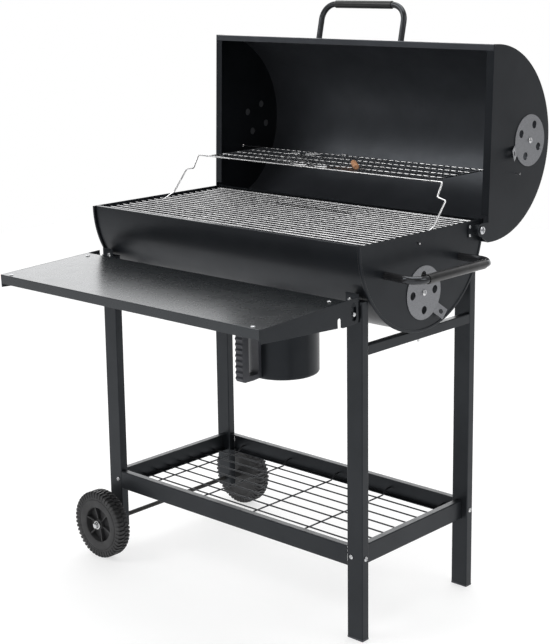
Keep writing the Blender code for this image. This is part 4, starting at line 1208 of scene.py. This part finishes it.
def add_table_brackets():
    """The plates on the legs' front faces that carry the table, and the pins it turns on."""
    face = -LEG_Y - GAP
    tongue_in, tongue_out = 372.3 * MM, 374.3 * MM
    y0, z0 = TABLE_AXIS.y, TABLE_AXIS.z
    radius = 13.0 * MM
    screws = []
    for side_name, side in SIDES:
        outline = [(face, z0 + radius)] + arc((y0, z0), radius, 90.0, 270.0, 32) + [(face, z0 - radius)]
        tongue = prism(outline, "X", tongue_in, tongue_out, [circle((y0, z0), 4.5 * MM, 32)])
        flange = box((0.341, face - 0.002, 0.664), (tongue_out - 0.5 * MM, face, 0.7205))
        name = f"table_bracket_{side_name}"
        piece(name, flip(joined(tongue, flange), "X", side), "satin", "frame", bevel=0.3 * MM, sharp=50.0)
        name = f"table_pin_{side_name}"
        shank = lathe([(0.0, 0.3690), (6.2 * MM, 0.3690), (6.2 * MM, 0.3720), (4.0 * MM, 0.3720),
                       (4.0 * MM, 0.3792), (3.4 * MM, 0.3798), (0.0, 0.3798)], "X", (0.0, y0, z0), 32)
        piece(name, flip(shank, "X", side), "zinc", "frame", bevel=0.25 * MM, sharp=40.0)
        for z in (0.672, 0.7065):
            screws.append(aimed(pan_head(4.4 * MM, 2.4 * MM), (side * 0.3525, face - 2.0 * MM, z),
                                (0, -1, 0)))
    piece("table_bracket_screws", together(*screws), "zinc", "frame", sharp=35.0)


# ---------------------------------------------------------------- studio
def add_camera():
    azimuth, pitch, roll = math.radians(42.45), math.radians(11.73), math.radians(-0.68)
    forward = Vector((-math.sin(azimuth) * math.cos(pitch), math.cos(azimuth) * math.cos(pitch),
                      -math.sin(pitch)))
    right = Vector((math.cos(azimuth), math.sin(azimuth), 0.0))
    up = right.cross(forward)
    side = math.cos(roll) * right + math.sin(roll) * up
    top = -math.sin(roll) * right + math.cos(roll) * up
    data = bpy.data.cameras.new("camera")
    data.lens = 82.57
    data.sensor_width = 36.0
    data.shift_x = -0.0193
    data.shift_y = -0.0840
    data.clip_end = 50.0
    camera = bpy.data.objects.new("camera", data)
    turn = Matrix((side, top, -forward)).transposed().to_4x4()
    camera.matrix_world = Matrix.Translation(BARREL + Vector((2.1419, -2.3245, 1.3483))) @ turn
    bpy.context.scene.collection.objects.link(camera)
    bpy.context.scene.camera = camera


def add_floor():
    """A wide pale studio floor."""
    shape = bmesh.new()
    bmesh.ops.create_grid(shape, x_segments=8, y_segments=8, size=4.0)
    mesh = bpy.data.meshes.new("studio_floor")
    shape.to_mesh(mesh)
    shape.free()
    n = Nodes("floor_paper")
    n.set(Roughness=0.9)
    colour = n.colours(n.noise(0.6, 3.0), (0.42, 0.42, 0.42), (0.45, 0.45, 0.45))
    n.set(Emission_Color=(1.0, 1.0, 1.0, 1.0), Emission_Strength=0.62)
    mesh.materials.append(n.finish(colour))
    floor = bpy.data.objects.new("studio_floor", mesh)
    bpy.context.scene.collection.objects.link(floor)


def add_world():
    """White to the eye, but dimmer light from the camera's side than from behind and above."""
    world = bpy.data.worlds.new("studio")
    world.use_nodes = True
    tree = world.node_tree
    tree.nodes.clear()
    place = tree.nodes.new("ShaderNodeTexCoord")
    along = tree.nodes.new("ShaderNodeVectorMath")
    along.operation = "DOT_PRODUCT"
    along.inputs[1].default_value = (-0.675, 0.738, 0.0)
    tree.links.new(place.outputs["Generated"], along.inputs[0])
    ramp = tree.nodes.new("ShaderNodeMapRange")
    ramp.inputs["From Min"].default_value = 0.25
    ramp.inputs["From Max"].default_value = 0.95
    ramp.inputs["To Min"].default_value = WORLD_NEAR
    ramp.inputs["To Max"].default_value = WORLD_FAR
    tree.links.new(along.outputs["Value"], ramp.inputs["Value"])
    light = tree.nodes.new("ShaderNodeBackground")
    tree.links.new(ramp.outputs["Result"], light.inputs["Strength"])
    seen = tree.nodes.new("ShaderNodeBackground")
    seen.inputs["Strength"].default_value = 1.0
    seen.inputs["Color"].default_value = (1.0, 1.0, 1.0, 1.0)
    rays = tree.nodes.new("ShaderNodeLightPath")
    mix = tree.nodes.new("ShaderNodeMixShader")
    tree.links.new(rays.outputs["Is Camera Ray"], mix.inputs["Fac"])
    tree.links.new(light.outputs[0], mix.inputs[1])
    tree.links.new(seen.outputs[0], mix.inputs[2])
    out = tree.nodes.new("ShaderNodeOutputWorld")
    tree.links.new(mix.outputs[0], out.inputs["Surface"])
    bpy.context.scene.world = world


def add_light(name, place, target, size, power, colour=(1.0, 1.0, 1.0)):
    data = bpy.data.lights.new(name, "AREA")
    data.shape = "RECTANGLE"
    data.size, data.size_y = size
    data.energy = power
    data.color = colour
    light = bpy.data.objects.new(name, data)
    light.location = BARREL + Vector(place)
    light.rotation_mode = "QUATERNION"
    light.rotation_quaternion = (Vector(target) - Vector(place)).to_track_quat("-Z", "Y")
    bpy.context.scene.collection.objects.link(light)


def add_lights():
    middle = (0.0, 0.0, 0.7)
    add_light("key_softbox", (-1.6, -2.4, 3.0), middle, (2.0, 1.6), 42.0)
    add_light("right_softbox", (3.0, 0.6, 2.4), middle, (1.6, 1.6), 20.0)
    add_light("fill_softbox", (1.4, -3.4, 1.5), middle, (3.0, 2.4), 16.0)
    add_light("top_softbox", (0.2, 0.3, 3.4), middle, (2.4, 2.0), 48.0)


# ---------------------------------------------------------------- build
def add_frame_pieces():
    add_legs()
    add_rails()
    add_shelf_grid()
    add_wheels()
    add_leg_bolts()
    for end_name, _ in ENDS:
        dress_node(f"foot_cap_{end_name}", "plastic", 0.8 * MM)
        # The grate ledges take the lighter inside paint, painted light for the shaded inside of the barrel.
        dress_node(f"grate_ledge_{end_name}", "inside_painted_light", 0.3 * MM)
    add_firebox_shell()
    add_firebox_ends()
    for _, side in SIDES:
        add_vent("firebox", END_OUT, VENT_CENTRE, VENT_TAB_ANGLE, side)
    add_side_handle()
    add_hinge_brackets()
    add_ash_parts()
    add_table_brackets()


def add_moving_pieces():
    add_lid_shell()
    add_lid_ends()
    add_lid_handle()
    add_vent("lid", LID_HALF + 1.8 * MM, LID_VENT_CENTRE, LID_VENT_TAB_ANGLE - LID_VENT_SHUT, -1, opened)
    add_vent("lid", LID_HALF + 1.8 * MM, LID_VENT_CENTRE, LID_VENT_TAB_ANGLE, 1, opened)
    add_grates()
    add_coal_grate()
    add_warming_rack()
    add_rack_legs()
    add_grate_lifter()
    add_table()


MATERIALS = make_materials()
add_frame_pieces()
add_moving_pieces()
add_camera()
add_floor()
add_world()
add_lights()
bpy.context.scene.view_settings.view_transform = "Standard"
